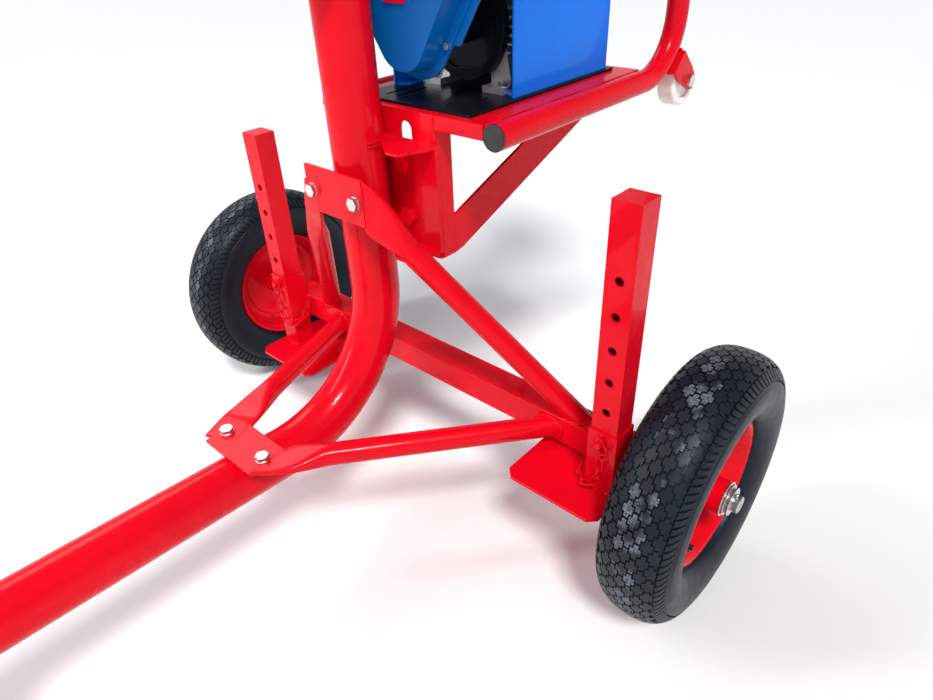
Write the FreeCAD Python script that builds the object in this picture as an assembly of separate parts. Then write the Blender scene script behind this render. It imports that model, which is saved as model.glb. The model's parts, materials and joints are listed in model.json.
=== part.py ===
"""Tow-behind electric wood chipper: column chassis, drop legs, belt-driven disc chipper.

Millimetres, +Z up, +Y to the rear (the drawbar points to -Y), +X to the machine's right.
Everything is laid out with Y measured from the wheel axle, then moved once by AXLE_Y so
that the origin is the centre of the whole machine's footprint on the ground.
"""
import FreeCAD, Part
import math
import os

Vec = FreeCAD.Vector

# ---- wheels and axle -------------------------------------------------------------
TYRE_R = 205.0
AXLE_Z = TYRE_R
TRACK_HALF = 504.0
TYRE_HALF_WIDTH = 55.0
RIM_R = 112.0
RIM_HALF_WIDTH = 33.0
HUB_R = 25.0
HUB_HALF_LENGTH = 44.0
AXLE_R = 12.5
RUNNING_GAP = 0.05
LOOSE_GAP = 0.5

# ---- main tube: column, bend and drawbar -----------------------------------------
TUBE_R = 37.5
TUBE_WALL = 3.0
COLUMN_Y = -126.4
COLUMN_TOP = 1010.0
BEND_R = 207.0
BEND_Z = 423.0
DRAWBAR_RISE_DEG = 3.1
DRAWBAR_END_Y = -1060.0
TOW_PLATE_T = 12.0
TOW_PLATE_LENGTH = 120.0
TOW_HOLE_R = 13.0

# ---- cross beam, leg sleeves and legs --------------------------------------------
BEAM_Y = -49.5
BEAM_Z = 251.0
SLEEVE = 45.0
SLEEVE_WALL = 2.0
SOCKET = 43.0
SLEEVE_BOTTOM = 226.0
SLEEVE_TOP = 325.0
LEG = 38.0
LEG_WALL = 3.0
LEG_MIDDLE_X = 53.3
LEG_X = LEG_MIDDLE_X + 359.2
LEG_Y = BEAM_Y - SLEEVE / 2 - SOCKET / 2
LEG_LENGTH = 418.0
LEG_HOLE_R = 6.0
LEG_HOLE_PITCH = 47.0
LEG_HOLE_COUNT = 6
LEG_TOP_TO_HOLE = 94.0
PIN_Z = 311.0
PIN_R = 5.0
PIN_REACH = 13.0
FOOT = 150.0
FOOT_T = 6.0
FOOT_CLIP = 12.0
FOOT_OUTSIDE = 9.5

# ---- braces ----------------------------------------------------------------------
BRACE_R = 16.5
BRACE_WALL = 2.0
PLATE_T = 5.0
UPPER_PLATE = {"half_x": 60.0, "y": -179.0, "z": (541.0, 608.0)}
LOWER_PLATE = {"half_x": 55.0, "y": (-430.0, -368.0), "z": 263.0}
BOLT_X = 45.5
BRACE_MEETS = {"upper right": 336.0, "upper left": -225.0, "lower right": 301.0, "lower left": -183.0}
BRACE_BITE = 22.0

# ---- machine platform, offset to the right of the column -------------------------
MACHINE_X = 56.0
FRAME_TOP = 679.0
FRAME_DEPTH = 20.0
FRAME_HALF = 139.0
FRAME_FRONT = -88.0
FRAME_REAR = 288.0
RAIL_W = 36.0
CHANNEL_HALF = 55.0
CHANNEL_BOTTOM = 474.0
CHANNEL_DEPTH = 32.0
CHANNEL_T = 4.0
SKID_R = 16.85
SKID_WALL = 2.6
SKID_OFFSET = 156.0
SKID_Z = 665.5
SKID_FRONT = -85.0
SKID_BEND_R = 88.0
SKID_REAR = 357.5
SKID_TOP = 930.0
ROLLER_R = 40.0
ROLLER_W = 30.0
ROLLER_REACH = 156.0
ROLLER_DROP_DEG = 42.0
ROLLER_BOLT_R = 5.0
BASE_T = 4.0
BASE_TOP = FRAME_TOP + BASE_T
DECK_Z = 850.0
DECK_T = 4.0

# ---- motor, belt drive and chipper -----------------------------------------------
MOTOR_Z = 766.0
ROTOR_Z = 990.0
MOTOR_FRONT = 36.0
MOTOR_REAR = 246.0
SHIELD_R = 73.0
MOTOR_FOOT_Y = (28.0, 168.0)
MOTOR_FOOT_T = 9.0
SHAFT_R = 12.0
ROTOR_SHAFT_R = 15.0
DRUM_R = 132.0
DRUM_Y = (10.0, 120.0)
DISC_R = 118.0
GUARD_FRONT = -84.0
GUARD_BACK = -50.0
GUARD_SMALL_R = 42.0
GUARD_FLARE = 4.0
GUARD_FLANGE = 14.5
GUARD_BACK_EDGE = 24.5
PULLEY_Y = (-79.0, -53.0)
MOTOR_PULLEY_R = 36.0
ROTOR_PULLEY_R = 120.0
GROOVE_DEPTH = 10.0
GROOVE_W = 10.0
BELT_T = 8.0
SHEET = 2.0
THROAT_X = (98.0, 170.0)
THROAT_HALF_HEIGHT = 45.0
CHUTE_X = (MACHINE_X - DRUM_R, 0.0)
CHUTE_TOP = 1215.0

REAR_MOST = 430.0
FRONT_MOST = DRAWBAR_END_Y - TOW_PLATE_LENGTH
AXLE_Y = -(REAR_MOST + FRONT_MOST) / 2.0

NODES = {}


# ---- small helpers ---------------------------------------------------------------
def box(x, y, z):
    """A block between the low and high value of each axis."""
    return Part.makeBox(x[1] - x[0], y[1] - y[0], z[1] - z[0], Vec(x[0], y[0], z[0]))


def rod(start, end, radius):
    """A round bar from one point to another."""
    line = end.sub(start)
    return Part.makeCylinder(radius, line.Length, start, line)


def pipe(start, end, outer, wall):
    """A round tube; the bore runs past both ends."""
    along = end.sub(start).normalize()
    return rod(start, end, outer).cut(rod(start - along, end + along, outer - wall))


def slab(points, axis, low, high):
    """A polygon pulled along one axis; its points are the other two axes in order."""
    place = {
        "x": lambda a, b: Vec(low, a, b),
        "y": lambda a, b: Vec(a, low, b),
        "z": lambda a, b: Vec(a, b, low),
    }[axis]
    pull = {"x": Vec(high - low, 0, 0), "y": Vec(0, high - low, 0), "z": Vec(0, 0, high - low)}[axis]
    corners = [place(a, b) for a, b in points]
    return Part.Face(Part.makePolygon(corners + corners[:1])).extrude(pull)


def join(shapes):
    """Fuse a list of touching solids into one."""
    return shapes[0].multiFuse(shapes[1:]) if len(shapes) > 1 else shapes[0]


def group(shapes):
    """Keep separate solids together in one node."""
    return Part.makeCompound(shapes)


def left_of_column(shape):
    """The mirror image on the other side of the chassis centre line."""
    return shape.mirror(Vec(0, 0, 0), Vec(1, 0, 0))


def left_of_legs(shape):
    """The mirror image on the other side of the middle between the drop legs."""
    return shape.mirror(Vec(LEG_MIDDLE_X, 0, 0), Vec(1, 0, 0))


def left_of_machine(shape):
    """The mirror image on the other side of the platform centre line."""
    return shape.mirror(Vec(MACHINE_X, 0, 0), Vec(1, 0, 0))


def hexagon(centre, across_flats, height, axis):
    """A hexagon head or nut pointing along an axis."""
    radius = across_flats / math.sqrt(3.0)
    flat = Part.makePolygon([
        Vec(radius * math.cos(math.radians(60 * k)), radius * math.sin(math.radians(60 * k)), 0)
        for k in range(7)
    ])
    head = Part.Face(flat).extrude(Vec(0, 0, height))
    head.Placement = FreeCAD.Placement(centre, FreeCAD.Rotation(Vec(0, 0, 1), axis))
    return head


def bolt(seat, axis, size, grip):
    """Head and washer on one side of a joint, nut on the other, as one solid."""
    washer_t = 0.2 * size
    washer = rod(seat, seat + axis * washer_t, size)
    head = hexagon(seat + axis * washer_t, 1.7 * size, 0.64 * size, axis)
    shank = rod(seat + axis * washer_t, seat - axis * (grip + size), size / 2.0)
    nut = hexagon(seat - axis * (grip + 0.8 * size), 1.7 * size, 0.8 * size, axis)
    return join([shank, washer, head, nut])


def spun(profile, centre_x):
    """A ring turned about the wheel axle from an (offset, radius) outline wire or face."""
    face = Part.Face(profile)
    face.translate(Vec(centre_x, 0, AXLE_Z))
    return face.revolve(Vec(0, 0, AXLE_Z), Vec(1, 0, 0), 360)


def section_loft(sections):
    """A solid skinned through closed outlines with equal numbers of points."""
    wires = [Part.makePolygon(points + points[:1]) for points in sections]
    return Part.makeLoft(wires, True, True)


# ---- chassis ---------------------------------------------------------------------
def drawbar_point(y):
    """The centre of the rising drawbar at one distance from the axle."""
    rise = math.radians(DRAWBAR_RISE_DEG)
    bend_y = COLUMN_Y - BEND_R
    end_y = bend_y - BEND_R * math.sin(rise)
    end_z = BEND_Z - BEND_R * math.cos(rise)
    return Vec(0, y, end_z + (end_y - y) * math.tan(rise))


def main_tube():
    """Column, bend and drawbar in one continuous tube."""
    ring = Part.Face([
        Part.Wire(Part.makeCircle(TUBE_R, Vec(0, COLUMN_Y, BEND_Z), Vec(0, 0, 1))),
        Part.Wire(Part.makeCircle(TUBE_R - TUBE_WALL, Vec(0, COLUMN_Y, BEND_Z), Vec(0, 0, 1))),
    ])
    pivot = Vec(0, COLUMN_Y - BEND_R, BEND_Z)
    bend = ring.revolve(pivot, Vec(-1, 0, 0), 90 + DRAWBAR_RISE_DEG)
    column = ring.extrude(Vec(0, 0, COLUMN_TOP - BEND_Z))
    bend_end_y = pivot.y - BEND_R * math.sin(math.radians(DRAWBAR_RISE_DEG))
    start = drawbar_point(bend_end_y)
    end = drawbar_point(DRAWBAR_END_Y)
    drawbar = rod(start, end, TUBE_R).cut(rod(start, end, TUBE_R - TUBE_WALL))
    return join([column, bend, drawbar])


def tube_envelope():
    """The outside of the main tube, used to trim what is welded to it."""
    column = rod(Vec(0, COLUMN_Y, BEND_Z), Vec(0, COLUMN_Y, COLUMN_TOP), TUBE_R)
    drawbar = rod(drawbar_point(-340), drawbar_point(DRAWBAR_END_Y), TUBE_R)
    return join([column, drawbar])


def tow_eye():
    """An end plug with a flat tongue and its vertical pin hole."""
    end = drawbar_point(DRAWBAR_END_Y)
    along = end.sub(drawbar_point(DRAWBAR_END_Y + 10)).normalize()
    plug = rod(end, end + along * 8, TUBE_R)
    z = (end.z - TOW_PLATE_T / 2, end.z + TOW_PLATE_T / 2)
    tip_y = FRONT_MOST + 35
    tongue = join([
        box((-35, 35), (tip_y, end.y - 4), z),
        rod(Vec(0, tip_y, z[0]), Vec(0, tip_y, z[1]), 35),
    ])
    hole = rod(Vec(0, tip_y, z[0] - 1), Vec(0, tip_y, z[1] + 1), TOW_HOLE_R)
    return join([plug, tongue]).cut(hole)


def axle_beam():
    """The square cross tube that the leg sleeves stand in front of."""
    reach = LEG_X + SOCKET / 2 - LEG_MIDDLE_X
    x = (LEG_MIDDLE_X - reach, LEG_MIDDLE_X + reach)
    half = SLEEVE / 2
    outer = box(x, (BEAM_Y - half, BEAM_Y + half), (BEAM_Z - half, BEAM_Z + half))
    inner = half - 3.0
    bore = box(x, (BEAM_Y - inner, BEAM_Y + inner), (BEAM_Z - inner, BEAM_Z + inner))
    return outer.cut(bore)


def square_sleeve(x, y, z, pin_z):
    """A square socket with a cross hole for its pin."""
    half = SOCKET / 2
    bore = half - SLEEVE_WALL
    socket = box((x - half, x + half), (y - half, y + half), z)
    socket = socket.cut(box((x - bore, x + bore), (y - bore, y + bore), (z[0] - 1, z[1] + 1)))
    return socket.cut(rod(Vec(x, y - 40, pin_z), Vec(x, y, pin_z), PIN_R + LOOSE_GAP))


def axle_shaft():
    """The round bar that carries both wheels, with its split pins' cross holes."""
    end = TRACK_HALF + HUB_HALF_LENGTH + 22
    bar = rod(Vec(-end, 0, AXLE_Z), Vec(end, 0, AXLE_Z), AXLE_R)
    for side in (-1, 1):
        x = side * (end - 7)
        bar = bar.cut(rod(Vec(x, 0, AXLE_Z - 20), Vec(x, 0, AXLE_Z + 20), 2.5))
    return bar


def axle_washers():
    """Washers, spacers and split pins that keep the wheels on."""
    bore = AXLE_R + RUNNING_GAP
    face = TRACK_HALF + HUB_HALF_LENGTH + 0.5
    pieces = []
    for start, end, radius in ((0, 2.5, 26.0), (2.5, 8.5, 20.0), (8.5, 11.5, 21.5)):
        pieces.append(pipe(Vec(face + start, 0, AXLE_Z), Vec(face + end, 0, AXLE_Z), radius, radius - bore))
    pin_x = face + 14.5
    pin = rod(Vec(pin_x, 0, AXLE_Z - 24), Vec(pin_x, 0, AXLE_Z + 22), 2.0)
    pieces.append(pin)
    inner = TRACK_HALF - HUB_HALF_LENGTH - 0.5
    pieces.append(pipe(Vec(inner - 8, 0, AXLE_Z), Vec(inner, 0, AXLE_Z), 20.0, 20.0 - bore))
    return group(pieces + [left_of_column(piece) for piece in pieces])


def axle_brackets():
    """Gusset plates that hang the axle behind and below the beam."""
    half = SLEEVE / 2
    low = BEAM_Z - half
    rear = BEAM_Y + half
    outline = [
        (BEAM_Y - 10, low), (rear, low), (rear, BEAM_Z + 10), (rear + 8, BEAM_Z + 10),
        (22, AXLE_Z + 10), (22, AXLE_Z - 18), (-14, AXLE_Z - 18),
    ]
    bar = rod(Vec(-400, 0, AXLE_Z), Vec(400, 0, AXLE_Z), AXLE_R)
    plates = [slab(outline, "x", x, x + 8).cut(bar) for x in (-176, -60, 140, 276)]
    return group(plates)


def tube_brackets():
    """Welded pads on the column and the drawbar that the brace plates bolt to."""
    up = UPPER_PLATE
    pad_y = up["y"] + PLATE_T
    upper = join([
        box((-58, 58), (pad_y, pad_y + 6), (up["z"][0] + 8, up["z"][1] - 8)),
        box((-22, 22), (pad_y + 6, COLUMN_Y), (up["z"][0] + 12, up["z"][1] - 12)),
    ])
    low = LOWER_PLATE
    middle = sum(low["y"]) / 2
    lower = join([
        box((-53, 53), (low["y"][0] + 4, low["y"][1] - 4), (low["z"] - 6, low["z"])),
        box((-26, 26), (middle - 24, middle + 24), (low["z"] - 34, low["z"] - 6)),
    ])
    skin = tube_envelope()
    return group([upper.cut(skin), lower.cut(skin)])


def brace_plates():
    """The two bolted plates that tie the braces to the main tube."""
    up = UPPER_PLATE
    upper = box((-up["half_x"], up["half_x"]), (up["y"], up["y"] + PLATE_T), up["z"])
    low = LOWER_PLATE
    lower = box((-low["half_x"], low["half_x"]), low["y"], (low["z"], low["z"] + PLATE_T))
    return upper, lower


def oval(centre, wide, wide_r, thin, thin_r, count=24):
    """Points round an ellipse given by two directions and their radii."""
    points = []
    for k in range(count):
        turn = 2 * math.pi * k / count
        points.append(centre + wide * (wide_r * math.cos(turn)) + thin * (thin_r * math.sin(turn)))
    return points


def brace(root, wide, thin, half_width, meet, tail=None):
    """A round tube pressed flat where it leaves its plate; a tail runs on flat over the plate."""
    line = meet.sub(root).normalize()
    end = meet + line * BRACE_BITE
    neck = root + line * 75
    side = wide.sub(line * wide.dot(line)).normalize()
    flat = thin.sub(line * thin.dot(line))
    flat = flat.sub(side * flat.dot(side)).normalize()
    mid = root + line * 30
    sections = [
        oval(root, wide, half_width, thin, PLATE_T / 2),
        oval(mid, side, half_width * 0.82, flat, BRACE_R * 0.45),
        oval(neck, side, BRACE_R, flat, BRACE_R),
    ]
    if tail is not None:
        sections.insert(0, oval(root + tail, wide, half_width, thin, PLATE_T / 2))
    return join([section_loft(sections), pipe(neck, end, BRACE_R, BRACE_WALL)])


def braces():
    """Upper and lower brace on each side; the left ones meet the beam nearer the column."""
    up = UPPER_PLATE
    low = LOWER_PLATE
    up_y = up["y"] + PLATE_T / 2
    low_z = low["z"] + PLATE_T / 2
    low_y = sum(low["y"]) / 2
    top = BEAM_Z + SLEEVE / 2
    front = BEAM_Y - SLEEVE / 2
    right_upper = brace(
        Vec(up["half_x"], up_y, sum(up["z"]) / 2), Vec(0, 0, 1), Vec(0, 1, 0),
        33.0, Vec(BRACE_MEETS["upper right"], BEAM_Y - 2, top),
    )
    left_upper = brace(
        Vec(-up["half_x"] + 2, up_y, up["z"][0]), Vec(-0.97, 0, 0.24), Vec(0, 1, 0),
        18.0, Vec(BRACE_MEETS["upper left"], BEAM_Y - 7, top), Vec(10, 0, 40),
    )
    right_lower = brace(
        Vec(low["half_x"], low_y, low_z), Vec(0, 1, 0), Vec(0, 0, 1),
        30.0, Vec(BRACE_MEETS["lower right"], front, BEAM_Z),
    )
    left_lower = brace(
        Vec(-low["half_x"] - 5, low["y"][1] - 4, low_z), Vec(-0.91, -0.41, 0), Vec(0, 0, 1),
        28.0, Vec(BRACE_MEETS["lower left"], front, BEAM_Z), Vec(18, -40, 0),
    )
    beam = box((-500, 500), (front, BEAM_Y + SLEEVE / 2), (BEAM_Z - SLEEVE / 2, top))
    over_upper = box((-up["half_x"], up["half_x"]), (up["y"] - 40, up["y"] + 40), up["z"])
    over_lower = box((-low["half_x"], low["half_x"]), low["y"], (low["z"] - 40, low["z"] + 40))
    upper = [shape.cut(beam).cut(over_upper) for shape in (right_upper, left_upper)]
    lower = [shape.cut(beam).cut(over_lower) for shape in (right_lower, left_lower)]
    return group(upper), group(lower)


def column_bracket():
    """The flanged bracket on the column that carries the machine."""
    right = MACHINE_X + CHANNEL_HALF + 6
    web_y = (FRAME_FRONT - 6, FRAME_FRONT)
    z = (488.0, 641.0)
    reach = COLUMN_Y - 21
    flange = [
        (0, web_y[0]), (0, COLUMN_Y + 16), (36, COLUMN_Y + 10), (80, reach), (right - 17, reach),
        (right, web_y[0] - 12), (right, web_y[0]),
    ]
    pieces = [
        box((0, right), web_y, z),
        slab(flange, "z", z[1] - 4, z[1]),
        slab(flange, "z", z[0], z[0] + 4),
    ]
    return join(pieces).cut(tube_envelope())


def bracket_bolt_places():
    """Centres of the two large bolts between bracket and channel."""
    return [(MACHINE_X + 4, 532.0), (MACHINE_X + 4, 611.0)]


def bracket_bolts():
    """Two large painted bolts with their nuts inside the channel."""
    seat = FRAME_FRONT - 6
    front = Vec(0, -1, 0)
    pieces = []
    for x, z in bracket_bolt_places():
        shank = rod(Vec(x, seat, z), Vec(x, FRAME_FRONT + 24, z), 8)
        head = hexagon(Vec(x, seat, z), 24, 10, front)
        nut = hexagon(Vec(x, FRAME_FRONT + CHANNEL_T + 13, z), 24, 13, front)
        pieces.append(join([shank, head, nut]).cut(tube_envelope()))
    return group(pieces)


# ---- platform --------------------------------------------------------------------
def mount_channel():
    """The upright folded channel at the platform's front, with its lifting slot."""
    x = (MACHINE_X - CHANNEL_HALF, MACHINE_X + CHANNEL_HALF)
    z = (CHANNEL_BOTTOM, FRAME_TOP)
    outer = box(x, (FRAME_FRONT, FRAME_FRONT + CHANNEL_DEPTH), z)
    corners = [e for e in outer.Edges if abs(e.Length - (z[1] - z[0])) < 0.01
               and abs(e.BoundBox.YMin - FRAME_FRONT) < 0.01]
    outer = outer.makeFillet(8.0, corners)
    inner = box((x[0] + CHANNEL_T, x[1] - CHANNEL_T), (FRAME_FRONT + CHANNEL_T, 0), (z[0] - 1, z[1] + 1))
    slot_x = MACHINE_X + 2
    slot = join([
        box((slot_x - 11, slot_x + 11), (-100, 0), (600, 653)),
        rod(Vec(slot_x, -100, 653), Vec(slot_x, 0, 653), 11),
        rod(Vec(slot_x, -100, 600), Vec(slot_x, 0, 600), 11),
    ])
    shelf = box((x[0] + 1, x[1] - 1), (FRAME_FRONT + 1, FRAME_FRONT + 24), (z[1] - 4, z[1]))
    channel = outer.cut(inner).cut(slot).fuse(shelf)
    for bolt_x, bolt_z in bracket_bolt_places():
        channel = channel.cut(rod(Vec(bolt_x, -100, bolt_z), Vec(bolt_x, 0, bolt_z), 8))
    return channel


def platform_frame():
    """The open rectangle of tube that the base plate lies on."""
    z = (FRAME_TOP - FRAME_DEPTH, FRAME_TOP)
    x = (MACHINE_X - FRAME_HALF, MACHINE_X + FRAME_HALF)
    inside = (x[0] + RAIL_W, x[1] - RAIL_W)
    channel = (MACHINE_X - CHANNEL_HALF, MACHINE_X + CHANNEL_HALF)
    rails = [
        box((x[0], inside[0]), (FRAME_FRONT, FRAME_REAR), z),
        box((inside[1], x[1]), (FRAME_FRONT, FRAME_REAR), z),
        box((inside[0], inside[1]), (FRAME_REAR - RAIL_W, FRAME_REAR), z),
        box((inside[0], channel[0]), (FRAME_FRONT, FRAME_FRONT + 20), z),
        box((channel[1], inside[1]), (FRAME_FRONT, FRAME_FRONT + 20), z),
    ]
    return join(rails)


def platform_braces():
    """The flat diagonal from the channel's foot to the platform's rear rail."""
    rear = FRAME_FRONT + CHANNEL_DEPTH
    under = FRAME_TOP - FRAME_DEPTH
    outline = [
        (rear, CHANNEL_BOTTOM), (rear, 532.0), (266.0, under), (FRAME_REAR, under),
        (FRAME_REAR, under - 53), (rear + 16, CHANNEL_BOTTOM + 3),
    ]
    right = MACHINE_X + CHANNEL_HALF
    return slab(outline, "x", right - 5, right)


def skid_tube(x):
    """A skid that turns up at the rear into the handle."""
    front = Vec(x, SKID_FRONT, SKID_Z)
    bend_start = Vec(x, SKID_REAR - SKID_BEND_R, SKID_Z)
    ring = Part.Face([
        Part.Wire(Part.makeCircle(SKID_R, bend_start, Vec(0, 1, 0))),
        Part.Wire(Part.makeCircle(SKID_R - SKID_WALL, bend_start, Vec(0, 1, 0))),
    ])
    bend = ring.revolve(bend_start + Vec(0, 0, SKID_BEND_R), Vec(1, 0, 0), 90)
    flat = ring.extrude(front.sub(bend_start))
    top = Vec(x, SKID_REAR, SKID_TOP)
    upright = pipe(Vec(x, SKID_REAR, SKID_Z + SKID_BEND_R), top, SKID_R, SKID_WALL)
    return join([flat, bend, upright])


def tube_caps():
    """Plastic plugs on the skid tubes, the handle and the column."""
    caps = []
    for x in skid_places():
        caps.append(rod(Vec(x, SKID_FRONT - 4, SKID_Z), Vec(x, SKID_FRONT, SKID_Z), SKID_R))
        caps.append(rod(Vec(x, SKID_REAR, SKID_TOP), Vec(x, SKID_REAR, SKID_TOP + 4), SKID_R))
    caps.append(rod(Vec(0, COLUMN_Y, COLUMN_TOP), Vec(0, COLUMN_Y, COLUMN_TOP + 6), TUBE_R + 0.5))
    for side in (-1, 1):
        end = side * 200
        caps.append(rod(Vec(end, COLUMN_Y, 975), Vec(end + side * 4, COLUMN_Y, 975), SKID_R))
    return group(caps)


def handle_bars():
    """The rear cross bar and the column's two grips."""
    left, right = skid_places()
    rear = pipe(Vec(left + SKID_R, SKID_REAR, 900), Vec(right - SKID_R, SKID_REAR, 900), SKID_R - 2, SKID_WALL)
    grip = pipe(Vec(0, COLUMN_Y, 975), Vec(200, COLUMN_Y, 975), SKID_R, SKID_WALL).cut(tube_envelope())
    return group([rear, grip, left_of_column(grip)])


def skid_places():
    """X of the left and the right skid."""
    return MACHINE_X - SKID_OFFSET, MACHINE_X + SKID_OFFSET


def roller_centre(x):
    """The roller axle's place behind and below the skid's bend."""
    drop = math.radians(ROLLER_DROP_DEG)
    bend = Vec(x, SKID_REAR - SKID_BEND_R, SKID_Z + SKID_BEND_R)
    return bend + Vec(0, math.cos(drop), -math.sin(drop)) * ROLLER_REACH


def roller_fork(x):
    """A folded strap welded to the skid's bend."""
    half = ROLLER_W / 2 + 2
    near = SKID_BEND_R + SKID_R + 0.2
    far = ROLLER_REACH + 24
    side = [(near, -20), (near + 22, -20), (far - 12, -9), (far, 0), (far - 4, 12), (far - 16, 19), (near, 20)]
    plates = [
        box((-half - 4, half + 4), (near, near + 4), (-20, 20)),
        slab(side, "x", -half - 4, -half),
        slab(side, "x", half, half + 4),
    ]
    fork = join(plates).cut(rod(Vec(-40, ROLLER_REACH, 0), Vec(40, ROLLER_REACH, 0), ROLLER_BOLT_R))
    fork.rotate(Vec(0, 0, 0), Vec(1, 0, 0), -ROLLER_DROP_DEG)
    fork.translate(Vec(x, SKID_REAR - SKID_BEND_R, SKID_Z + SKID_BEND_R))
    return fork


def roller(x):
    """A nylon roller with rounded edges and a raised hub."""
    centre = roller_centre(x)
    half = ROLLER_W / 2
    wheel = rod(centre - Vec(half, 0, 0), centre + Vec(half, 0, 0), ROLLER_R)
    wheel = wheel.makeFillet(5.0, [e for e in wheel.Edges if len(e.Vertexes) == 1])
    for side in (-1, 1):
        recess = pipe(centre + Vec(side * (half - 5), 0, 0), centre + Vec(side * half, 0, 0), 28, 16)
        wheel = wheel.cut(recess)
    bore = rod(centre - Vec(30, 0, 0), centre + Vec(30, 0, 0), ROLLER_BOLT_R + RUNNING_GAP)
    return wheel.cut(bore)


def base_plate():
    """The slotted sheet that the motor and the side panels stand on."""
    half = FRAME_HALF - RAIL_W + 4
    sheet = box((MACHINE_X - half, MACHINE_X + half), (FRAME_FRONT + 13, FRAME_REAR - 26), (FRAME_TOP, BASE_TOP))
    slots = [MACHINE_X + side * offset for side in (-1, 1) for offset in (48, 68)]
    for x in slots:
        sheet = sheet.cut(box((x - 2.5, x + 2.5), (-52, 6), (FRAME_TOP - 1, BASE_TOP + 1)))
    return sheet


def side_panel(sign, front):
    """A folded sheet wall with a foot and a head flange turned inwards."""
    outer = MACHINE_X + sign * 101
    inner = outer - sign * 3
    lip = outer - sign * 23
    wall = box(sorted((outer, inner)), (front, 251), (BASE_TOP, DECK_Z))
    foot = slab([(outer, front), (lip, front + 12), (lip, 251), (outer, 251)], "z", BASE_TOP, BASE_TOP + 3)
    head = box(sorted((outer, lip)), (front, 251), (DECK_Z - 3, DECK_Z))
    return join([wall, foot, head])


def deck_plate():
    """The plate on top of the side panels that carries the chipper housing."""
    return box((MACHINE_X - 101, MACHINE_X + 101), (-8, 251), (DECK_Z, DECK_Z + DECK_T))


# ---- motor -----------------------------------------------------------------------
def on_motor(y):
    """A point on the motor shaft's line."""
    return Vec(MACHINE_X, y, MOTOR_Z)


def motor_body():
    """Finned stator frame on two feet, bored through for the rotor."""
    y = (MOTOR_FRONT + 12, MOTOR_REAR - 48)
    limit = rod(on_motor(y[0]), on_motor(y[1]), 80)
    pieces = [rod(on_motor(y[0]), on_motor(y[1]), 66)]
    for step in range(-5, 6):
        offset = 11 * step
        sideways = box((MACHINE_X - 90, MACHINE_X + 90), y, (MOTOR_Z + offset - 1.5, MOTOR_Z + offset + 1.5))
        upwards = box((MACHINE_X + offset - 1.5, MACHINE_X + offset + 1.5), y, (MOTOR_Z, MOTOR_Z + 90))
        pieces += [sideways.common(limit), upwards.common(limit)]
    for side in (-1, 1):
        x = sorted((MACHINE_X + side * 77, MACHINE_X + side * 40))
        pieces.append(box(x, MOTOR_FOOT_Y, (BASE_TOP, BASE_TOP + MOTOR_FOOT_T)))
        top = BASE_TOP + MOTOR_FOOT_T - 1
        web = [(40, top), (77, top), (66, 740), (40, 732)]
        corners = [(MACHINE_X + side * dx, z) for dx, z in web]
        for low in (MOTOR_FOOT_Y[0] + 20, MOTOR_FOOT_Y[1] - 18):
            pieces.append(slab(corners, "y", low, low + 12))
    terminal = box((MACHINE_X - 45, MACHINE_X + 45), (70, 160), (MOTOR_Z + 60, MOTOR_Z + 63.5))
    body = join(pieces + [terminal.common(limit)])
    return body.cut(rod(on_motor(y[0] - 1), on_motor(y[1] + 1), 42))


def motor_end_shield():
    """The black drive-end disc with its dished face and bearing hub."""
    disc = rod(on_motor(MOTOR_FRONT), on_motor(MOTOR_FRONT + 12), SHIELD_R)
    dish = rod(on_motor(MOTOR_FRONT - 1), on_motor(MOTOR_FRONT + 5), 60)
    hub = rod(on_motor(MOTOR_FRONT - 16), on_motor(MOTOR_FRONT + 6), 24)
    bore = rod(on_motor(MOTOR_FRONT - 20), on_motor(MOTOR_FRONT + 20), SHAFT_R + RUNNING_GAP)
    return join([disc.cut(dish), hub]).cut(bore)


def motor_fan_cowl():
    """The steel cap over the cooling fan, with its air slots."""
    y = (MOTOR_REAR - 48, MOTOR_REAR)
    cowl = rod(on_motor(y[0]), on_motor(y[1]), 76).cut(rod(on_motor(y[0] - 1), on_motor(y[1] - 2), 73))
    for step in range(-4, 5):
        half = math.sqrt(60.0 ** 2 - (13 * step) ** 2)
        slot = box((MACHINE_X - half, MACHINE_X + half), (y[1] - 10, y[1] + 5),
                   (MOTOR_Z + 13 * step - 2.5, MOTOR_Z + 13 * step + 2.5))
        cowl = cowl.cut(slot)
    return cowl


def motor_shaft():
    """Shaft, rotor core and cooling fan turning as one."""
    shaft = rod(on_motor(PULLEY_Y[0] - 1), on_motor(MOTOR_REAR - 14), SHAFT_R)
    core = rod(on_motor(78), on_motor(165), 40)
    fan = rod(on_motor(MOTOR_REAR - 30), on_motor(MOTOR_REAR - 27), 62)
    blades = []
    for k in range(6):
        blade = box((MACHINE_X - 1.5, MACHINE_X + 1.5), (MOTOR_REAR - 42, MOTOR_REAR - 30), (MOTOR_Z + 10, MOTOR_Z + 60))
        blade.rotate(on_motor(0), Vec(0, 1, 0), 60 * k)
        blades.append(blade)
    return join([shaft, core, fan] + blades)


def pulley(centre_z, radius, bore):
    """A two-groove belt pulley turned about Y."""
    middle = sum(PULLEY_Y) / 2
    start = Vec(MACHINE_X, PULLEY_Y[0], centre_z)
    end = Vec(MACHINE_X, PULLEY_Y[1], centre_z)
    wheel = rod(start, end, radius)
    for y in belt_places():
        groove = pipe(Vec(MACHINE_X, y - GROOVE_W / 2, centre_z), Vec(MACHINE_X, y + GROOVE_W / 2, centre_z),
                      radius + 1, GROOVE_DEPTH + 1)
        wheel = wheel.cut(groove)
    if radius > 80:
        for side in (PULLEY_Y[0], PULLEY_Y[1] - 7):
            wheel = wheel.cut(pipe(Vec(MACHINE_X, side, centre_z), Vec(MACHINE_X, side + 7, centre_z), 96, 58))
    return wheel.cut(rod(Vec(MACHINE_X, middle - 30, centre_z), Vec(MACHINE_X, middle + 30, centre_z), bore))


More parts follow.
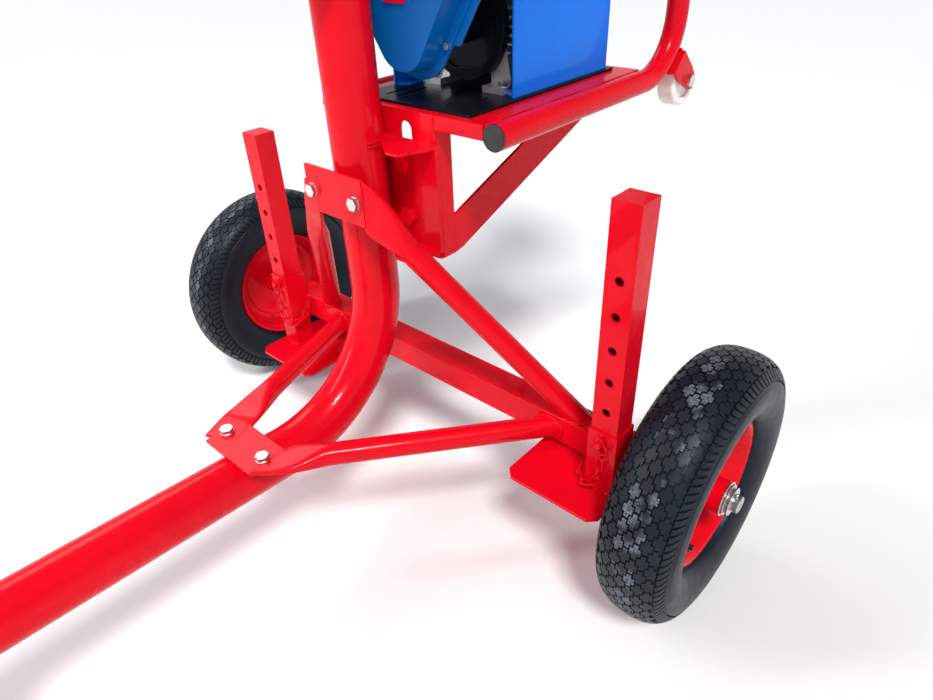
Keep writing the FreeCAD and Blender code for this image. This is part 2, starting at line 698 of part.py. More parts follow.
def belt_places():
    """Y of the two belts."""
    middle = sum(PULLEY_Y) / 2
    return middle - 6.25, middle + 6.25


def belt_outline(small_r, big_r, y):
    """Two arcs and their outer tangents round motor and rotor centres."""
    spread = math.asin((big_r - small_r) / (ROTOR_Z - MOTOR_Z))
    across = math.cos(spread)
    down = math.sin(spread)

    def at(centre_z, radius, side):
        return Vec(MACHINE_X + side * radius * across, y, centre_z - radius * down)

    low_arc = Part.Arc(at(MOTOR_Z, small_r, -1), Vec(MACHINE_X, y, MOTOR_Z - small_r), at(MOTOR_Z, small_r, 1))
    top_arc = Part.Arc(at(ROTOR_Z, big_r, 1), Vec(MACHINE_X, y, ROTOR_Z + big_r), at(ROTOR_Z, big_r, -1))
    right = Part.LineSegment(at(MOTOR_Z, small_r, 1), at(ROTOR_Z, big_r, 1))
    left = Part.LineSegment(at(ROTOR_Z, big_r, -1), at(MOTOR_Z, small_r, -1))
    return Part.Wire([low_arc.toShape(), right.toShape(), top_arc.toShape(), left.toShape()])


def drive_belts():
    """Two belts in the pulleys' grooves, a hair clear of them."""
    small = MOTOR_PULLEY_R - GROOVE_DEPTH + 0.5
    big = ROTOR_PULLEY_R - GROOVE_DEPTH + 0.5
    belts = []
    for y in belt_places():
        start = y - GROOVE_W / 2 + 0.5
        pull = Vec(0, GROOVE_W - 1, 0)
        outer = Part.Face(belt_outline(small + BELT_T, big + BELT_T, start)).extrude(pull)
        inner = Part.Face(belt_outline(small, big, start)).extrude(pull)
        belts.append(outer.cut(inner))
    return group(belts)


def guard_radii(extra):
    """Lower and upper radius of the guard's outline, grown by one amount."""
    spread = 0.54 * (ROTOR_Z - MOTOR_Z)
    return GUARD_SMALL_R + extra, GUARD_SMALL_R + spread + extra


def guard_shell(front_extra, back_extra, y):
    """The raised, slightly flared body of the belt guard."""
    small, big = guard_radii(front_extra)
    front = belt_outline(small, big, y[0])
    small, big = guard_radii(back_extra)
    back = belt_outline(small, big, y[1])
    return Part.makeLoft([front, back], True, True)


def guard_front():
    """The pressed cover with its flange."""
    rim_y = (GUARD_BACK - SHEET, GUARD_BACK)
    outer = guard_shell(0, GUARD_FLARE, (GUARD_FRONT, rim_y[1]))
    inner = guard_shell(-SHEET, GUARD_FLARE - SHEET, (GUARD_FRONT + SHEET, rim_y[1] + 0.01))
    small, big = guard_radii(GUARD_FLANGE)
    flange = Part.Face(belt_outline(small, big, rim_y[0])).extrude(Vec(0, SHEET, 0))
    return join([outer, flange]).cut(inner)


def guard_screw_places():
    """Offset from the centre line and height of each guard screw."""
    top = ROTOR_Z + guard_radii((GUARD_FLARE + GUARD_FLANGE) / 2)[1]
    return [(-53.5, MOTOR_Z - 10.5), (53.5, MOTOR_Z - 10.5), (0, top)]


def guard_back():
    """The flat plate behind the belts, wider above the motor, on four stand-offs from the housing."""
    small, big = guard_radii(GUARD_FLANGE)
    plate = Part.Face(belt_outline(small, big, GUARD_BACK)).extrude(Vec(0, 3, 0))
    small, big = guard_radii(GUARD_BACK_EDGE)
    wide = Part.Face(belt_outline(small, big, GUARD_BACK)).extrude(Vec(0, 3, 0))
    above = box((MACHINE_X - 400, MACHINE_X + 400), (GUARD_BACK - 1, GUARD_BACK + 4), (MOTOR_Z - 10, ROTOR_Z + 400))
    plate = plate.fuse(wide.common(above)).removeSplitter()
    for z, radius in ((MOTOR_Z, 20), (ROTOR_Z, 24)):
        plate = plate.cut(rod(Vec(MACHINE_X, -100, z), Vec(MACHINE_X, 0, z), radius))
    studs = [
        rod(Vec(MACHINE_X + dx, GUARD_BACK + 3, z), Vec(MACHINE_X + dx, DRUM_Y[0], z), 7)
        for dx, z in ((-90, ROTOR_Z + 80), (90, ROTOR_Z + 80), (-70, ROTOR_Z - 96), (70, ROTOR_Z - 96))
    ]
    return join([plate] + studs)


def guard_cover():
    """The small inspection lid on the guard's face."""
    lid = box((MACHINE_X - 21, MACHINE_X + 17), (GUARD_FRONT - 3, GUARD_FRONT), (804.5, 862))
    upright = [e for e in lid.Edges if abs(e.Length - 3) < 0.01]
    return lid.makeFillet(3.0, upright)


# ---- chipper ---------------------------------------------------------------------
def on_rotor(y):
    """A point on the rotor shaft's line."""
    return Vec(MACHINE_X, y, ROTOR_Z)


def throat_z():
    """The feed opening's low and high edge."""
    return ROTOR_Z - THROAT_HALF_HEIGHT, ROTOR_Z + THROAT_HALF_HEIGHT


def rotor_housing():
    """Drum wall, front cheek and foot in one welded casing."""
    y = DRUM_Y
    drum = rod(on_rotor(y[0]), on_rotor(y[1]), DRUM_R)
    floor = DECK_Z + DECK_T
    foot = box((MACHINE_X - 95, MACHINE_X + 95), y, (floor, floor + 6))
    cheek = box((MACHINE_X - 80, MACHINE_X + 80), (y[0], y[0] + 4), (floor, ROTOR_Z - 70))
    inside = rod(on_rotor(y[0] + 4), on_rotor(y[1] + 1), DRUM_R - 3)
    outlet = box((CHUTE_X[0] + 3, CHUTE_X[1] - SHEET), (y[0] + 6, y[1] - SHEET - 2), (ROTOR_Z, CHUTE_TOP))
    bore = rod(on_rotor(0), on_rotor(30), 20)
    return join([drum, foot, cheek]).cut(inside).cut(outlet).cut(bore)


def housing_back_plate():
    """The bolted rear plate with the feed opening beside the shaft."""
    y = DRUM_Y[1]
    plate = rod(on_rotor(y), on_rotor(y + 5), DRUM_R + 10)
    opening = box(THROAT_X, (y - 1, y + 10), throat_z())
    bore = rod(on_rotor(y - 1), on_rotor(y + 10), 20)
    below = box((MACHINE_X - 200, MACHINE_X + 200), (y - 1, y + 10), (DECK_Z - 50, DECK_Z + DECK_T))
    return plate.cut(opening).cut(bore).cut(below)


def bearings():
    """Two flange bearings that carry the rotor shaft."""
    pieces = []
    for y in ((DRUM_Y[0] - 14, DRUM_Y[0]), (DRUM_Y[1] + 5, DRUM_Y[1] + 19)):
        block = rod(on_rotor(y[0]), on_rotor(y[1]), 30)
        bore = rod(on_rotor(y[0] - 1), on_rotor(y[1] + 1), ROTOR_SHAFT_R + RUNNING_GAP)
        pieces.append(block.cut(bore))
    return group(pieces)


def rotor_disc():
    """The chipping disc on its shaft, with ejector paddles on the rim."""
    shaft = rod(on_rotor(PULLEY_Y[0] - 1), on_rotor(DRUM_Y[1] + 24), ROTOR_SHAFT_R)
    disc = rod(on_rotor(84), on_rotor(96), DISC_R)
    paddles = []
    for k in range(4):
        paddle = box((MACHINE_X - 3, MACHINE_X + 3), (24, 84), (ROTOR_Z + 70, ROTOR_Z + DISC_R - 2))
        paddle.rotate(on_rotor(0), Vec(0, 1, 0), 90 * k + 45)
        paddles.append(paddle)
    return join([shaft, disc] + paddles)


def chipper_knives():
    """Two bevelled knives bolted on the disc's feed side."""
    knife = slab([(96, 38), (104, 38), (110, 60), (96, 60)], "x", 40, 106)
    knife.translate(Vec(MACHINE_X, 0, ROTOR_Z - 49))
    other = knife.copy()
    other.rotate(on_rotor(0), Vec(0, 1, 0), 180)
    return group([knife, other])


def rectangle(x, z, y):
    """Four corners of an upright rectangle at one Y."""
    return [Vec(x[0], y, z[0]), Vec(x[1], y, z[0]), Vec(x[1], y, z[1]), Vec(x[0], y, z[1])]


def grown(span, amount):
    """A span made wider at both ends."""
    return span[0] - amount, span[1] + amount


def feed_hopper():
    """The funnel from its wide mouth down to the throat, with both flanges."""
    y0 = DRUM_Y[1] + 5
    y1 = REAR_MOST
    neck = y0 + 70
    mouth_x = (MACHINE_X - 130, MACHINE_X + 190)
    mouth_z = (1050.0, 1330.0)
    low_z = throat_z()
    neck_z = (low_z[0] + 18, low_z[1] + 24)
    wall = 2.0
    outer = section_loft([
        rectangle(grown(THROAT_X, wall), grown(low_z, wall), y0),
        rectangle(grown(THROAT_X, wall), grown(neck_z, wall), neck),
        rectangle(mouth_x, mouth_z, y1),
    ])
    inner = section_loft([
        rectangle(THROAT_X, low_z, y0 - 0.5),
        rectangle(THROAT_X, neck_z, neck),
        rectangle(grown(mouth_x, -wall), grown(mouth_z, -wall), y1 + 0.5),
    ])
    flange = box(grown(THROAT_X, 18), (y0, y0 + 4), grown(low_z, 18))
    flange = flange.cut(rod(on_rotor(y0 - 1), on_rotor(y0 + 20), 31))
    lip = box(grown(mouth_x, 8), (y1 - 2, y1), grown(mouth_z, 8))
    return join([outer, flange, lip]).cut(inner)


def discharge_chute():
    """The upright duct that leaves the drum on its left side."""
    y = (DRUM_Y[0] + 4, DRUM_Y[1] - 2)
    duct = box(CHUTE_X, y, (ROTOR_Z, CHUTE_TOP))
    inside = box(grown(CHUTE_X, -SHEET), grown(y, -SHEET), (ROTOR_Z - 1, CHUTE_TOP + 1))
    duct = duct.cut(inside).cut(rod(on_rotor(0), on_rotor(200), DRUM_R))
    pivot = deflector_pivot()
    lugs = []
    for low in (y[0], y[1] - 4):
        lug = join([
            rod(Vec(pivot[0], low, pivot[1]), Vec(pivot[0], low + 4, pivot[1]), 8),
            box((CHUTE_X[1], pivot[0]), (low, low + 4), (pivot[1] - 20, pivot[1])),
        ])
        lugs.append(lug)
    pin = rod(Vec(pivot[0], y[0] - 8, pivot[1]), Vec(pivot[0], y[1] + 8, pivot[1]), 4)
    return join([duct] + lugs + [pin])


def deflector_pivot():
    """X and Z of the deflector's hinge pin."""
    return CHUTE_X[1] + 8, CHUTE_TOP + 2


def chute_deflector():
    """The hinged hood that throws the chips to the left."""
    y = (DRUM_Y[0] + 2 - SHEET, DRUM_Y[1] + SHEET)
    px, pz = deflector_pivot()
    left = CHUTE_X[0]
    outline = [
        (6, pz + 12), (6, pz + 34), (-28, pz + 76), (left - 26, pz + 98), (left - 70, pz + 84),
        (left - 62, pz + 48), (left - 10, pz + 10), (left - 10, pz - 8),
    ]
    hood = slab(outline, "y", y[0], y[1])
    hollow = [
        (4, pz - 30), (4, pz + 33), (-29, pz + 74), (left - 26, pz + 96), (left - 90, pz + 76), (left - 90, pz - 30),
    ]
    hood = hood.cut(slab(hollow, "y", y[0] + SHEET, y[1] - SHEET))
    ears = []
    for low in (y[0], y[1] - SHEET):
        ears.append(rod(Vec(px, low, pz), Vec(px, low + SHEET, pz), 10))
        ears.append(slab([(px - 14, pz - 8), (px, pz - 8), (px, pz + 12), (px - 14, pz + 12)], "y", low, low + SHEET))
    hood = join([hood] + ears)
    return hood.cut(rod(Vec(px, -50, pz), Vec(px, 200, pz), 4 + RUNNING_GAP))


def switch_box():
    """The enclosed starter on the column's front, with a cable gland below."""
    face = COLUMN_Y - TUBE_R
    body = box((-45, 45), (face - 50, face), (850, 970))
    body = body.makeFillet(6.0, [e for e in body.Edges if abs(e.Length - 120) < 0.01])
    gland = rod(Vec(0, face - 25, 832), Vec(0, face - 25, 852), 11)
    body = join([body, gland])
    for z in button_places():
        body = body.cut(rod(Vec(0, face - 51, z), Vec(0, face - 40, z), 12))
    return body


def button_places():
    """Z of the stop and the start button."""
    return 888.0, 932.0


def push_button(z):
    """A round push button in its well."""
    face = COLUMN_Y - TUBE_R - 50
    button = rod(Vec(0, face - 5, z), Vec(0, face + 6, z), 11)
    return button.makeFillet(1.5, [e for e in button.Edges if len(e.Vertexes) == 1 and e.BoundBox.YMax < face])


# ---- legs, pins and chains -------------------------------------------------------
def leg(top, x, y, foot_x):
    """A square drop leg with its row of pin holes and a clipped foot plate."""
    half = LEG / 2
    bottom = top - LEG_LENGTH
    tube = box((x - half, x + half), (y - half, y + half), (bottom, top))
    bore = half - LEG_WALL
    tube = tube.cut(box((x - bore, x + bore), (y - bore, y + bore), (bottom + 3, top - 3)))
    for k in range(LEG_HOLE_COUNT):
        z = top - LEG_TOP_TO_HOLE - LEG_HOLE_PITCH * k
        tube = tube.cut(rod(Vec(x, y - 40, z), Vec(x, y + 40, z), LEG_HOLE_R))
    low, high = foot_x
    front, rear = y - FOOT / 2, y + FOOT / 2
    clip = FOOT_CLIP
    outline = [
        (low + clip, front), (high - clip, front), (high, front + clip), (high, rear - clip),
        (high - clip, rear), (low + clip, rear), (low, rear - clip), (low, front + clip),
    ]
    return join([tube, slab(outline, "z", bottom - FOOT_T, bottom)])


def side_leg():
    """The right leg at its highest hole."""
    outer = LEG_X + LEG / 2 + FOOT_OUTSIDE
    top = PIN_Z + LEG_TOP_TO_HOLE + LEG_HOLE_PITCH * (LEG_HOLE_COUNT - 1)
    return leg(top, LEG_X, LEG_Y, (outer - FOOT, outer))


def locking_pin(x, y, z):
    """The nose of a locking pin; it stops just short of the leg so that both can be moved alone."""
    face = y - SOCKET / 2
    pin = rod(Vec(x, face - PIN_REACH, z), Vec(x, face + SLEEVE_WALL, z), PIN_R)
    return pin.makeChamfer(1.0, [e for e in pin.Edges if len(e.Vertexes) == 1 and e.BoundBox.YMax < face])


def chain_link(centre, along, across, length, width, wire):
    """One oval link made of two straights and two half rings."""
    normal = along.cross(across)
    reach = (length - width) / 2
    middle_r = (width - wire) / 2
    pieces = []
    for side in (-1, 1):
        offset = across * (side * middle_r)
        pieces.append(rod(centre + offset - along * reach, centre + offset + along * reach, wire / 2))
    for side in (-1, 1):
        end = centre + along * (side * reach)
        ring = Part.Face(Part.Wire(Part.makeCircle(wire / 2, end + across * middle_r, along)))
        pieces.append(ring.revolve(end, normal, -180 * side))
    return join(pieces)


def pin_chain():
    """A short chain from the pin's nose, round the sleeve's foot to the front of the beam."""
    x = LEG_X
    y = LEG_Y - SOCKET / 2
    route = [
        Vec(x, y - 8, PIN_Z - 9.6), Vec(x + 2, y - 8, PIN_Z - 40), Vec(x, y - 8, PIN_Z - 64),
        Vec(x - 8, y - 8, PIN_Z - 76), Vec(x - 21, y - 8, PIN_Z - 79), Vec(x - 31, y, PIN_Z - 78),
        Vec(x - 32, y + 16, PIN_Z - 74), Vec(x - 31.5, y + 31, PIN_Z - 63), Vec(x - 31, y + 34.5, PIN_Z - 44),
    ]
    path = Part.BSplineCurve()
    path.interpolate(route)
    links = [pipe(Vec(x, y - 9.3, PIN_Z), Vec(x, y - 6.7, PIN_Z), 12.0, 2.6)]
    across = Vec(1, 0, 0)
    joints = path.discretize(Number=11)
    for start, end in zip(joints, joints[1:]):
        along = end.sub(start).normalize()
        across = along.cross(across).normalize()
        links.append(chain_link((start + end) * 0.5, along, across, 22.0, 12.5, 2.5))
    return links


def stand_place():
    """X and Y of the parking stand beside the drawbar."""
    return TUBE_R + SOCKET / 2 - 1.5, -900.0


def stand_pin_z():
    """The height of the stand's third hole when its foot is on the ground."""
    return LEG_LENGTH + FOOT_T - LEG_TOP_TO_HOLE - 2 * LEG_HOLE_PITCH


def stand_sleeve():
    """The stand's socket, welded to the drawbar's right side."""
    x, y = stand_place()
    pin_z = stand_pin_z()
    return square_sleeve(x, y, (pin_z - 60, pin_z + 40), pin_z).cut(tube_envelope())


def stand_leg():
    """The front parking leg, standing on the ground."""
    x, y = stand_place()
    top = LEG_LENGTH + FOOT_T
    return leg(top, x, y, (x - 60, x + 60))


# ---- wheels ----------------------------------------------------------------------
def arc_wire(points):
    """A closed outline from alternating corner and arc-middle points."""
    edges = []
    for k in range(0, len(points), 2):
        start = points[k]
        middle = points[k + 1]
        end = points[(k + 2) % len(points)]
        line = middle is None
        edge = Part.LineSegment(start, end) if line else Part.Arc(start, middle, end)
        edges.append(edge.toShape())
    return Part.Wire(edges)


def tyre(x):
    """A hollow tyre section turned about the axle."""
    width = TYRE_HALF_WIDTH
    bead = RIM_HALF_WIDTH
    skin = 9.0

    def at(offset, radius):
        return Vec(offset, 0, radius)

    outline = arc_wire([
        at(-bead, RIM_R), at(-width, 158), at(-38, 194), at(0, TYRE_R), at(38, 194), at(width, 158),
        at(bead, RIM_R), None,
        at(bead - skin, RIM_R), at(width - skin, 158), at(34, 186), at(0, TYRE_R - skin),
        at(-34, 186), at(skin - width, 158), at(skin - bead, RIM_R), None,
    ])
    return spun(outline, x)


def rim(x):
    """Rim band, dished disc and hub tube."""
    side = 1 if x > 0 else -1
    start = Vec(x, 0, AXLE_Z)

    def along(offset):
        return start + Vec(side * offset, 0, 0)

    band = pipe(along(-RIM_HALF_WIDTH), along(RIM_HALF_WIDTH), RIM_R - 0.05, 4)
    lip = pipe(along(RIM_HALF_WIDTH), along(RIM_HALF_WIDTH + 4), RIM_R + 3, 7)
    inner_lip = pipe(along(-RIM_HALF_WIDTH - 4), along(-RIM_HALF_WIDTH), RIM_R + 3, 7)
    disc = pipe(along(9), along(12), RIM_R - 3, RIM_R - 3 - HUB_R + 1)
    step = pipe(along(12), along(17), 44, 20)
    hub = pipe(along(-HUB_HALF_LENGTH), along(HUB_HALF_LENGTH), HUB_R, HUB_R - AXLE_R - RUNNING_GAP)
    return join([band, lip, inner_lip, disc, step, hub])


# ---- fasteners -------------------------------------------------------------------
def zinc_fasteners():
    """All plated bolts: brace plates, rollers, guard, panels and motor feet."""
    up = UPPER_PLATE
    low = LOWER_PLATE
    upper_z = sum(up["z"]) / 2 - 1
    lower_y = sum(low["y"]) / 2 - 1
    pieces = []
    for x in (-BOLT_X, BOLT_X):
        pieces.append(bolt(Vec(x, up["y"], upper_z), Vec(0, -1, 0), 10, PLATE_T + 6))
        pieces.append(bolt(Vec(x, lower_y, low["z"] + PLATE_T), Vec(0, 0, 1), 10, PLATE_T + 6))
    for x in skid_places():
        centre = roller_centre(x)
        side = ROLLER_W / 2 + 6
        pieces.append(join([
            rod(centre - Vec(side + 8, 0, 0), centre + Vec(side, 0, 0), ROLLER_BOLT_R),
            hexagon(centre + Vec(side, 0, 0), 17, 7, Vec(1, 0, 0)),
            hexagon(centre - Vec(side, 0, 0), 17, 8, Vec(-1, 0, 0)),
        ]))
    for side in (-1, 1):
        foot_x = MACHINE_X + side * 88
        for y in (36, 235):
            pieces.append(hexagon(Vec(foot_x, y, BASE_TOP + 3), 10, 4, Vec(0, 0, 1)))
        for y in (MOTOR_FOOT_Y[0] + 10, MOTOR_FOOT_Y[1] - 42):
            pieces.append(hexagon(Vec(MACHINE_X + side * 69, y, BASE_TOP + MOTOR_FOOT_T), 13, 6, Vec(0, 0, 1)))
    for dx, z in guard_screw_places():
        pieces.append(hexagon(Vec(MACHINE_X + dx, GUARD_BACK - SHEET, z), 8, 4, Vec(0, -1, 0)))
    return group(pieces)


# ---- assembly --------------------------------------------------------------------
def build():
    """Make every node in the axle's frame."""
    left_x, right_x = skid_places()
    upper_plate, lower_plate = brace_plates()
    upper_braces, lower_braces = braces()
    leg_right = side_leg()
    leg_left = left_of_legs(leg_right)
    leg_left.translate(Vec(0, 0, -LEG_HOLE_PITCH))
    sleeve = square_sleeve(LEG_X, LEG_Y, (SLEEVE_BOTTOM, SLEEVE_TOP), PIN_Z)
    pin_right = locking_pin(LEG_X, LEG_Y, PIN_Z)
    stand_x, stand_y = stand_place()
    links = pin_chain()
    plate_bolts = bracket_bolts()
    plated = zinc_fasteners()

    NODES["main_tube"] = main_tube()
    NODES["tube_caps"] = tube_caps()
    NODES["tow_eye"] = tow_eye()
    NODES["stand_sleeve"] = stand_sleeve()
    NODES["stand_leg"] = stand_leg()
    NODES["stand_pin"] = locking_pin(stand_x, stand_y, stand_pin_z())
    NODES["axle_beam"] = axle_beam()
    NODES["leg_sleeves"] = group([sleeve, left_of_legs(sleeve)])
    NODES["axle_shaft"] = axle_shaft()
    NODES["axle_brackets"] = axle_brackets()
    NODES["axle_washers"] = axle_washers()
    NODES["tube_brackets"] = tube_brackets().cut(plated)
    NODES["brace_plates"] = group([upper_plate.cut(plated), lower_plate.cut(plated)])
    NODES["braces_upper"] = upper_braces
    NODES["braces_lower"] = lower_braces
    NODES["column_bracket"] = column_bracket().cut(plate_bolts)
    NODES["bracket_bolts"] = plate_bolts
    NODES["zinc_fasteners"] = plated
    NODES["leg_right"] = leg_right
    NODES["leg_left"] = leg_left
    NODES["leg_pin_right"] = pin_right
    NODES["leg_pin_left"] = left_of_legs(pin_right)
    NODES["pin_chains"] = group(links + [left_of_legs(link) for link in links])
    NODES["rim_right"] = rim(TRACK_HALF)
    NODES["rim_left"] = rim(-TRACK_HALF)
    NODES["tyre_right"] = tyre(TRACK_HALF).cut(NODES["rim_right"])
    NODES["tyre_left"] = tyre(-TRACK_HALF).cut(NODES["rim_left"])

    NODES["mount_channel"] = mount_channel()
    NODES["platform_frame"] = platform_frame()
    NODES["platform_braces"] = platform_braces()
    NODES["skid_tubes"] = group([skid_tube(left_x), skid_tube(right_x)])
    NODES["handle_bars"] = handle_bars()
    NODES["roller_forks"] = group([roller_fork(left_x), roller_fork(right_x)])
    NODES["roller_right"] = roller(right_x)
    NODES["roller_left"] = roller(left_x)
    NODES["base_plate"] = base_plate()
    NODES["side_panel_right"] = side_panel(1, 22.0)
    NODES["side_panel_left"] = side_panel(-1, -8.0)
    NODES["deck_plate"] = deck_plate()

    NODES["motor_body"] = motor_body()
    NODES["motor_end_shield"] = motor_end_shield()
    NODES["motor_fan_cowl"] = motor_fan_cowl()
    NODES["motor_shaft"] = motor_shaft()
    NODES["motor_pulley"] = pulley(MOTOR_Z, MOTOR_PULLEY_R, SHAFT_R)
    NODES["rotor_pulley"] = pulley(ROTOR_Z, ROTOR_PULLEY_R, ROTOR_SHAFT_R)
    NODES["drive_belts"] = drive_belts()
    NODES["guard_back"] = guard_back()
    NODES["guard_front"] = guard_front()
    NODES["guard_cover"] = guard_cover()
    NODES["rotor_housing"] = rotor_housing()
    NODES["housing_back_plate"] = housing_back_plate()
    NODES["bearings"] = bearings()
    NODES["rotor_disc"] = rotor_disc()
    NODES["chipper_knives"] = chipper_knives()
    NODES["feed_hopper"] = feed_hopper()
    NODES["discharge_chute"] = discharge_chute()
    NODES["chute_deflector"] = chute_deflector()
    NODES["switch_box"] = switch_box()
    stop_z, start_z = button_places()
    NODES["stop_button"] = push_button(stop_z)
    NODES["start_button"] = push_button(start_z)


def export():
    """Move every node to the row's origin and write it."""
    os.makedirs("parts", exist_ok=True)
    for name, shape in NODES.items():
        placed = shape.copy()
        placed.translate(Vec(0, AXLE_Y, 0))
        placed.exportStep(os.path.join("parts", name + ".step"))


build()
export()
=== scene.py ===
"""The look of the tow-behind wood chipper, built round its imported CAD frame.

Lengths are given in millimetres with Y measured from the wheel axle, as on the drawings,
and spot() turns them into metres in the frame's own axes.
"""
import bpy
import bmesh
import json
import math
from mathutils import Matrix, Vector


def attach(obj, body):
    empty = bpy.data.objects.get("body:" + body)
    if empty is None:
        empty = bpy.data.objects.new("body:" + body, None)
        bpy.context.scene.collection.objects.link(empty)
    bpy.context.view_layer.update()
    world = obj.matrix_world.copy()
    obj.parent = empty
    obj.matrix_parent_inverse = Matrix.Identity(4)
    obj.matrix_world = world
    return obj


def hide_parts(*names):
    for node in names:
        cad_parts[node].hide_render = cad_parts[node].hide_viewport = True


AXLE_Y = 375.0
MM = 0.001

# ---- driving sizes, the same as the design's -------------------------------------
AXLE_Z = 205.0
TYRE_R = 205.0
TRACK_HALF = 504.0
HUB_R = 25.0
HUB_HALF = 44.0
TUBE_R = 37.5
COLUMN_Y = -126.4
DRAWBAR_END_Y = -1060.0
BEAM_Y = -49.5
BEAM_Z = 251.0
SLEEVE = 45.0
SOCKET = 43.0
LEG = 38.0
LEG_MIDDLE_X = 53.3
LEG_X = LEG_MIDDLE_X + 359.2
LEG_Y = BEAM_Y - SLEEVE / 2 - SOCKET / 2
LEG_FOOT_TOP = {"right": 222.0, "left": 175.0}
PIN_Z = 311.0
BRACE_R = 16.5
BRACE_MEETS = {"upper right": 336.0, "upper left": -225.0, "lower right": 301.0, "lower left": -183.0}
BRACE_BITE = 22.0
PLATE_T = 5.0
UPPER_PLATE = {"half_x": 60.0, "y": -179.0, "z": (541.0, 608.0)}
LOWER_PLATE = {"half_x": 55.0, "y": (-430.0, -368.0), "z": 263.0}
MACHINE_X = 56.0
SKID_OFFSET = 156.0
SKID_R = 16.85

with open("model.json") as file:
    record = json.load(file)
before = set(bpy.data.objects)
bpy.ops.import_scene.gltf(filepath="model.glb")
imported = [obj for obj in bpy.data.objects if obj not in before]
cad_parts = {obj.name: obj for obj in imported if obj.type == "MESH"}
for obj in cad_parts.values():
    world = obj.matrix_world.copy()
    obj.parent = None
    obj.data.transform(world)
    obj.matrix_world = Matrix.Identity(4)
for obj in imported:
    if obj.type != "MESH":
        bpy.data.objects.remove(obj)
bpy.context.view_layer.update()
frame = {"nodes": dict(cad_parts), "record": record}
BODY_OF = {node: body for body, nodes in frame["record"]["behaviour"]["bodies"].items() for node in nodes}
SLOT_OF = {part["node"]: part["material_slot"] for part in frame["record"]["subparts"]}


def spot(x, y, z):
    """A point of the drawings as a point of the frame, in metres."""
    return Vector((x, y + AXLE_Y, z)) * MM


def leg_side(x, side):
    """X on the right leg's side, or its mirror on the left leg's side."""
    return LEG_MIDDLE_X + side * (x - LEG_MIDDLE_X)


# ---- materials -------------------------------------------------------------------
class Shader:
    """A material under construction: a Principled shader and short ways to feed it."""

    def __init__(self, name):
        self.material = bpy.data.materials.new(name)
        self.material.use_nodes = True
        self.tree = self.material.node_tree
        self.surface = self.tree.nodes["Principled BSDF"]
        self.place = self.node("ShaderNodeTexCoord").outputs["Object"]

    def node(self, kind, **settings):
        made = self.tree.nodes.new(kind)
        for key, value in settings.items():
            setattr(made, key, value)
        return made

    def link(self, output, target):
        self.tree.links.new(output, target)

    def set(self, **values):
        for key, value in values.items():
            self.surface.inputs[key.replace("_", " ")].default_value = value

    def noise(self, scale, detail=4.0, rough=0.5):
        made = self.node("ShaderNodeTexNoise")
        self.link(self.place, made.inputs["Vector"])
        made.inputs["Scale"].default_value = scale
        made.inputs["Detail"].default_value = detail
        made.inputs["Roughness"].default_value = rough
        return made.outputs["Fac"]

    def ramp(self, value, low, high, first, last):
        made = self.node("ShaderNodeMapRange", clamp=True)
        self.link(value, made.inputs["Value"])
        for name, number in (("From Min", low), ("From Max", high), ("To Min", first), ("To Max", last)):
            made.inputs[name].default_value = number
        return made.outputs["Result"]

    def blend(self, factor, first, last):
        made = self.node("ShaderNodeMix", data_type="RGBA")
        self.link(factor, made.inputs[0])
        made.inputs[6].default_value = (*first, 1.0)
        made.inputs[7].default_value = (*last, 1.0)
        return made.outputs[2]

    def colour(self, factor, first, last):
        self.link(self.blend(factor, first, last), self.surface.inputs["Base Color"])

    def roughness(self, value):
        self.link(value, self.surface.inputs["Roughness"])

    def bump(self, *heights):
        """Stack bumps given as (value, strength, distance in metres)."""
        normal = None
        for value, strength, distance in heights:
            made = self.node("ShaderNodeBump")
            made.inputs["Strength"].default_value = strength
            made.inputs["Distance"].default_value = distance
            self.link(value, made.inputs["Height"])
            if normal is not None:
                self.link(normal, made.inputs["Normal"])
            normal = made.outputs["Normal"]
        self.link(normal, self.surface.inputs["Normal"])


def enamel(name, colour, deep, rough, coat):
    """Sprayed gloss paint: slight tone drift, orange peel and a clear skin."""
    s = Shader(name)
    s.colour(s.ramp(s.noise(6.0), 0.3, 0.7, 0.0, 1.0), deep, colour)
    s.roughness(s.ramp(s.noise(30.0), 0.3, 0.7, rough * 0.85, rough * 1.2))
    s.set(Coat_Weight=coat, Coat_Roughness=0.04, Specular_IOR_Level=0.06)
    s.bump((s.noise(24.0, 2.0), 0.08, 0.004), (s.noise(420.0, 2.0), 0.04, 0.0005))
    return s.material


def tyre_rubber():
    """Matt tread rubber with a faint bloom."""
    s = Shader("tyre_rubber")
    s.colour(s.ramp(s.noise(24.0, 6.0), 0.35, 0.75, 0.0, 1.0), (0.004, 0.006, 0.010), (0.008, 0.012, 0.019))
    s.roughness(s.ramp(s.noise(60.0), 0.3, 0.7, 0.36, 0.48))
    s.set(Specular_IOR_Level=0.28, Specular_Tint=(0.75, 0.88, 1.0, 1.0))
    s.bump((s.noise(900.0, 3.0), 0.15, 0.0003))
    return s.material


def worn_rubber():
    """Block tops scuffed pale in patches."""
    s = Shader("worn_rubber")
    patch = s.ramp(s.noise(30.0, 2.0), 0.47, 0.60, 0.0, 1.0)
    grain = s.ramp(s.noise(520.0, 5.0, 0.7), 0.40, 0.62, 0.0, 1.0)
    both = s.node("ShaderNodeMath", operation="MULTIPLY")
    s.link(patch, both.inputs[0])
    s.link(grain, both.inputs[1])
    s.colour(both.outputs[0], (0.008, 0.011, 0.017), (0.19, 0.22, 0.27))
    s.roughness(s.ramp(patch, 0.0, 1.0, 0.42, 0.75))
    s.set(Specular_IOR_Level=0.28)
    s.bump((s.noise(700.0, 4.0), 0.35, 0.0005))
    return s.material


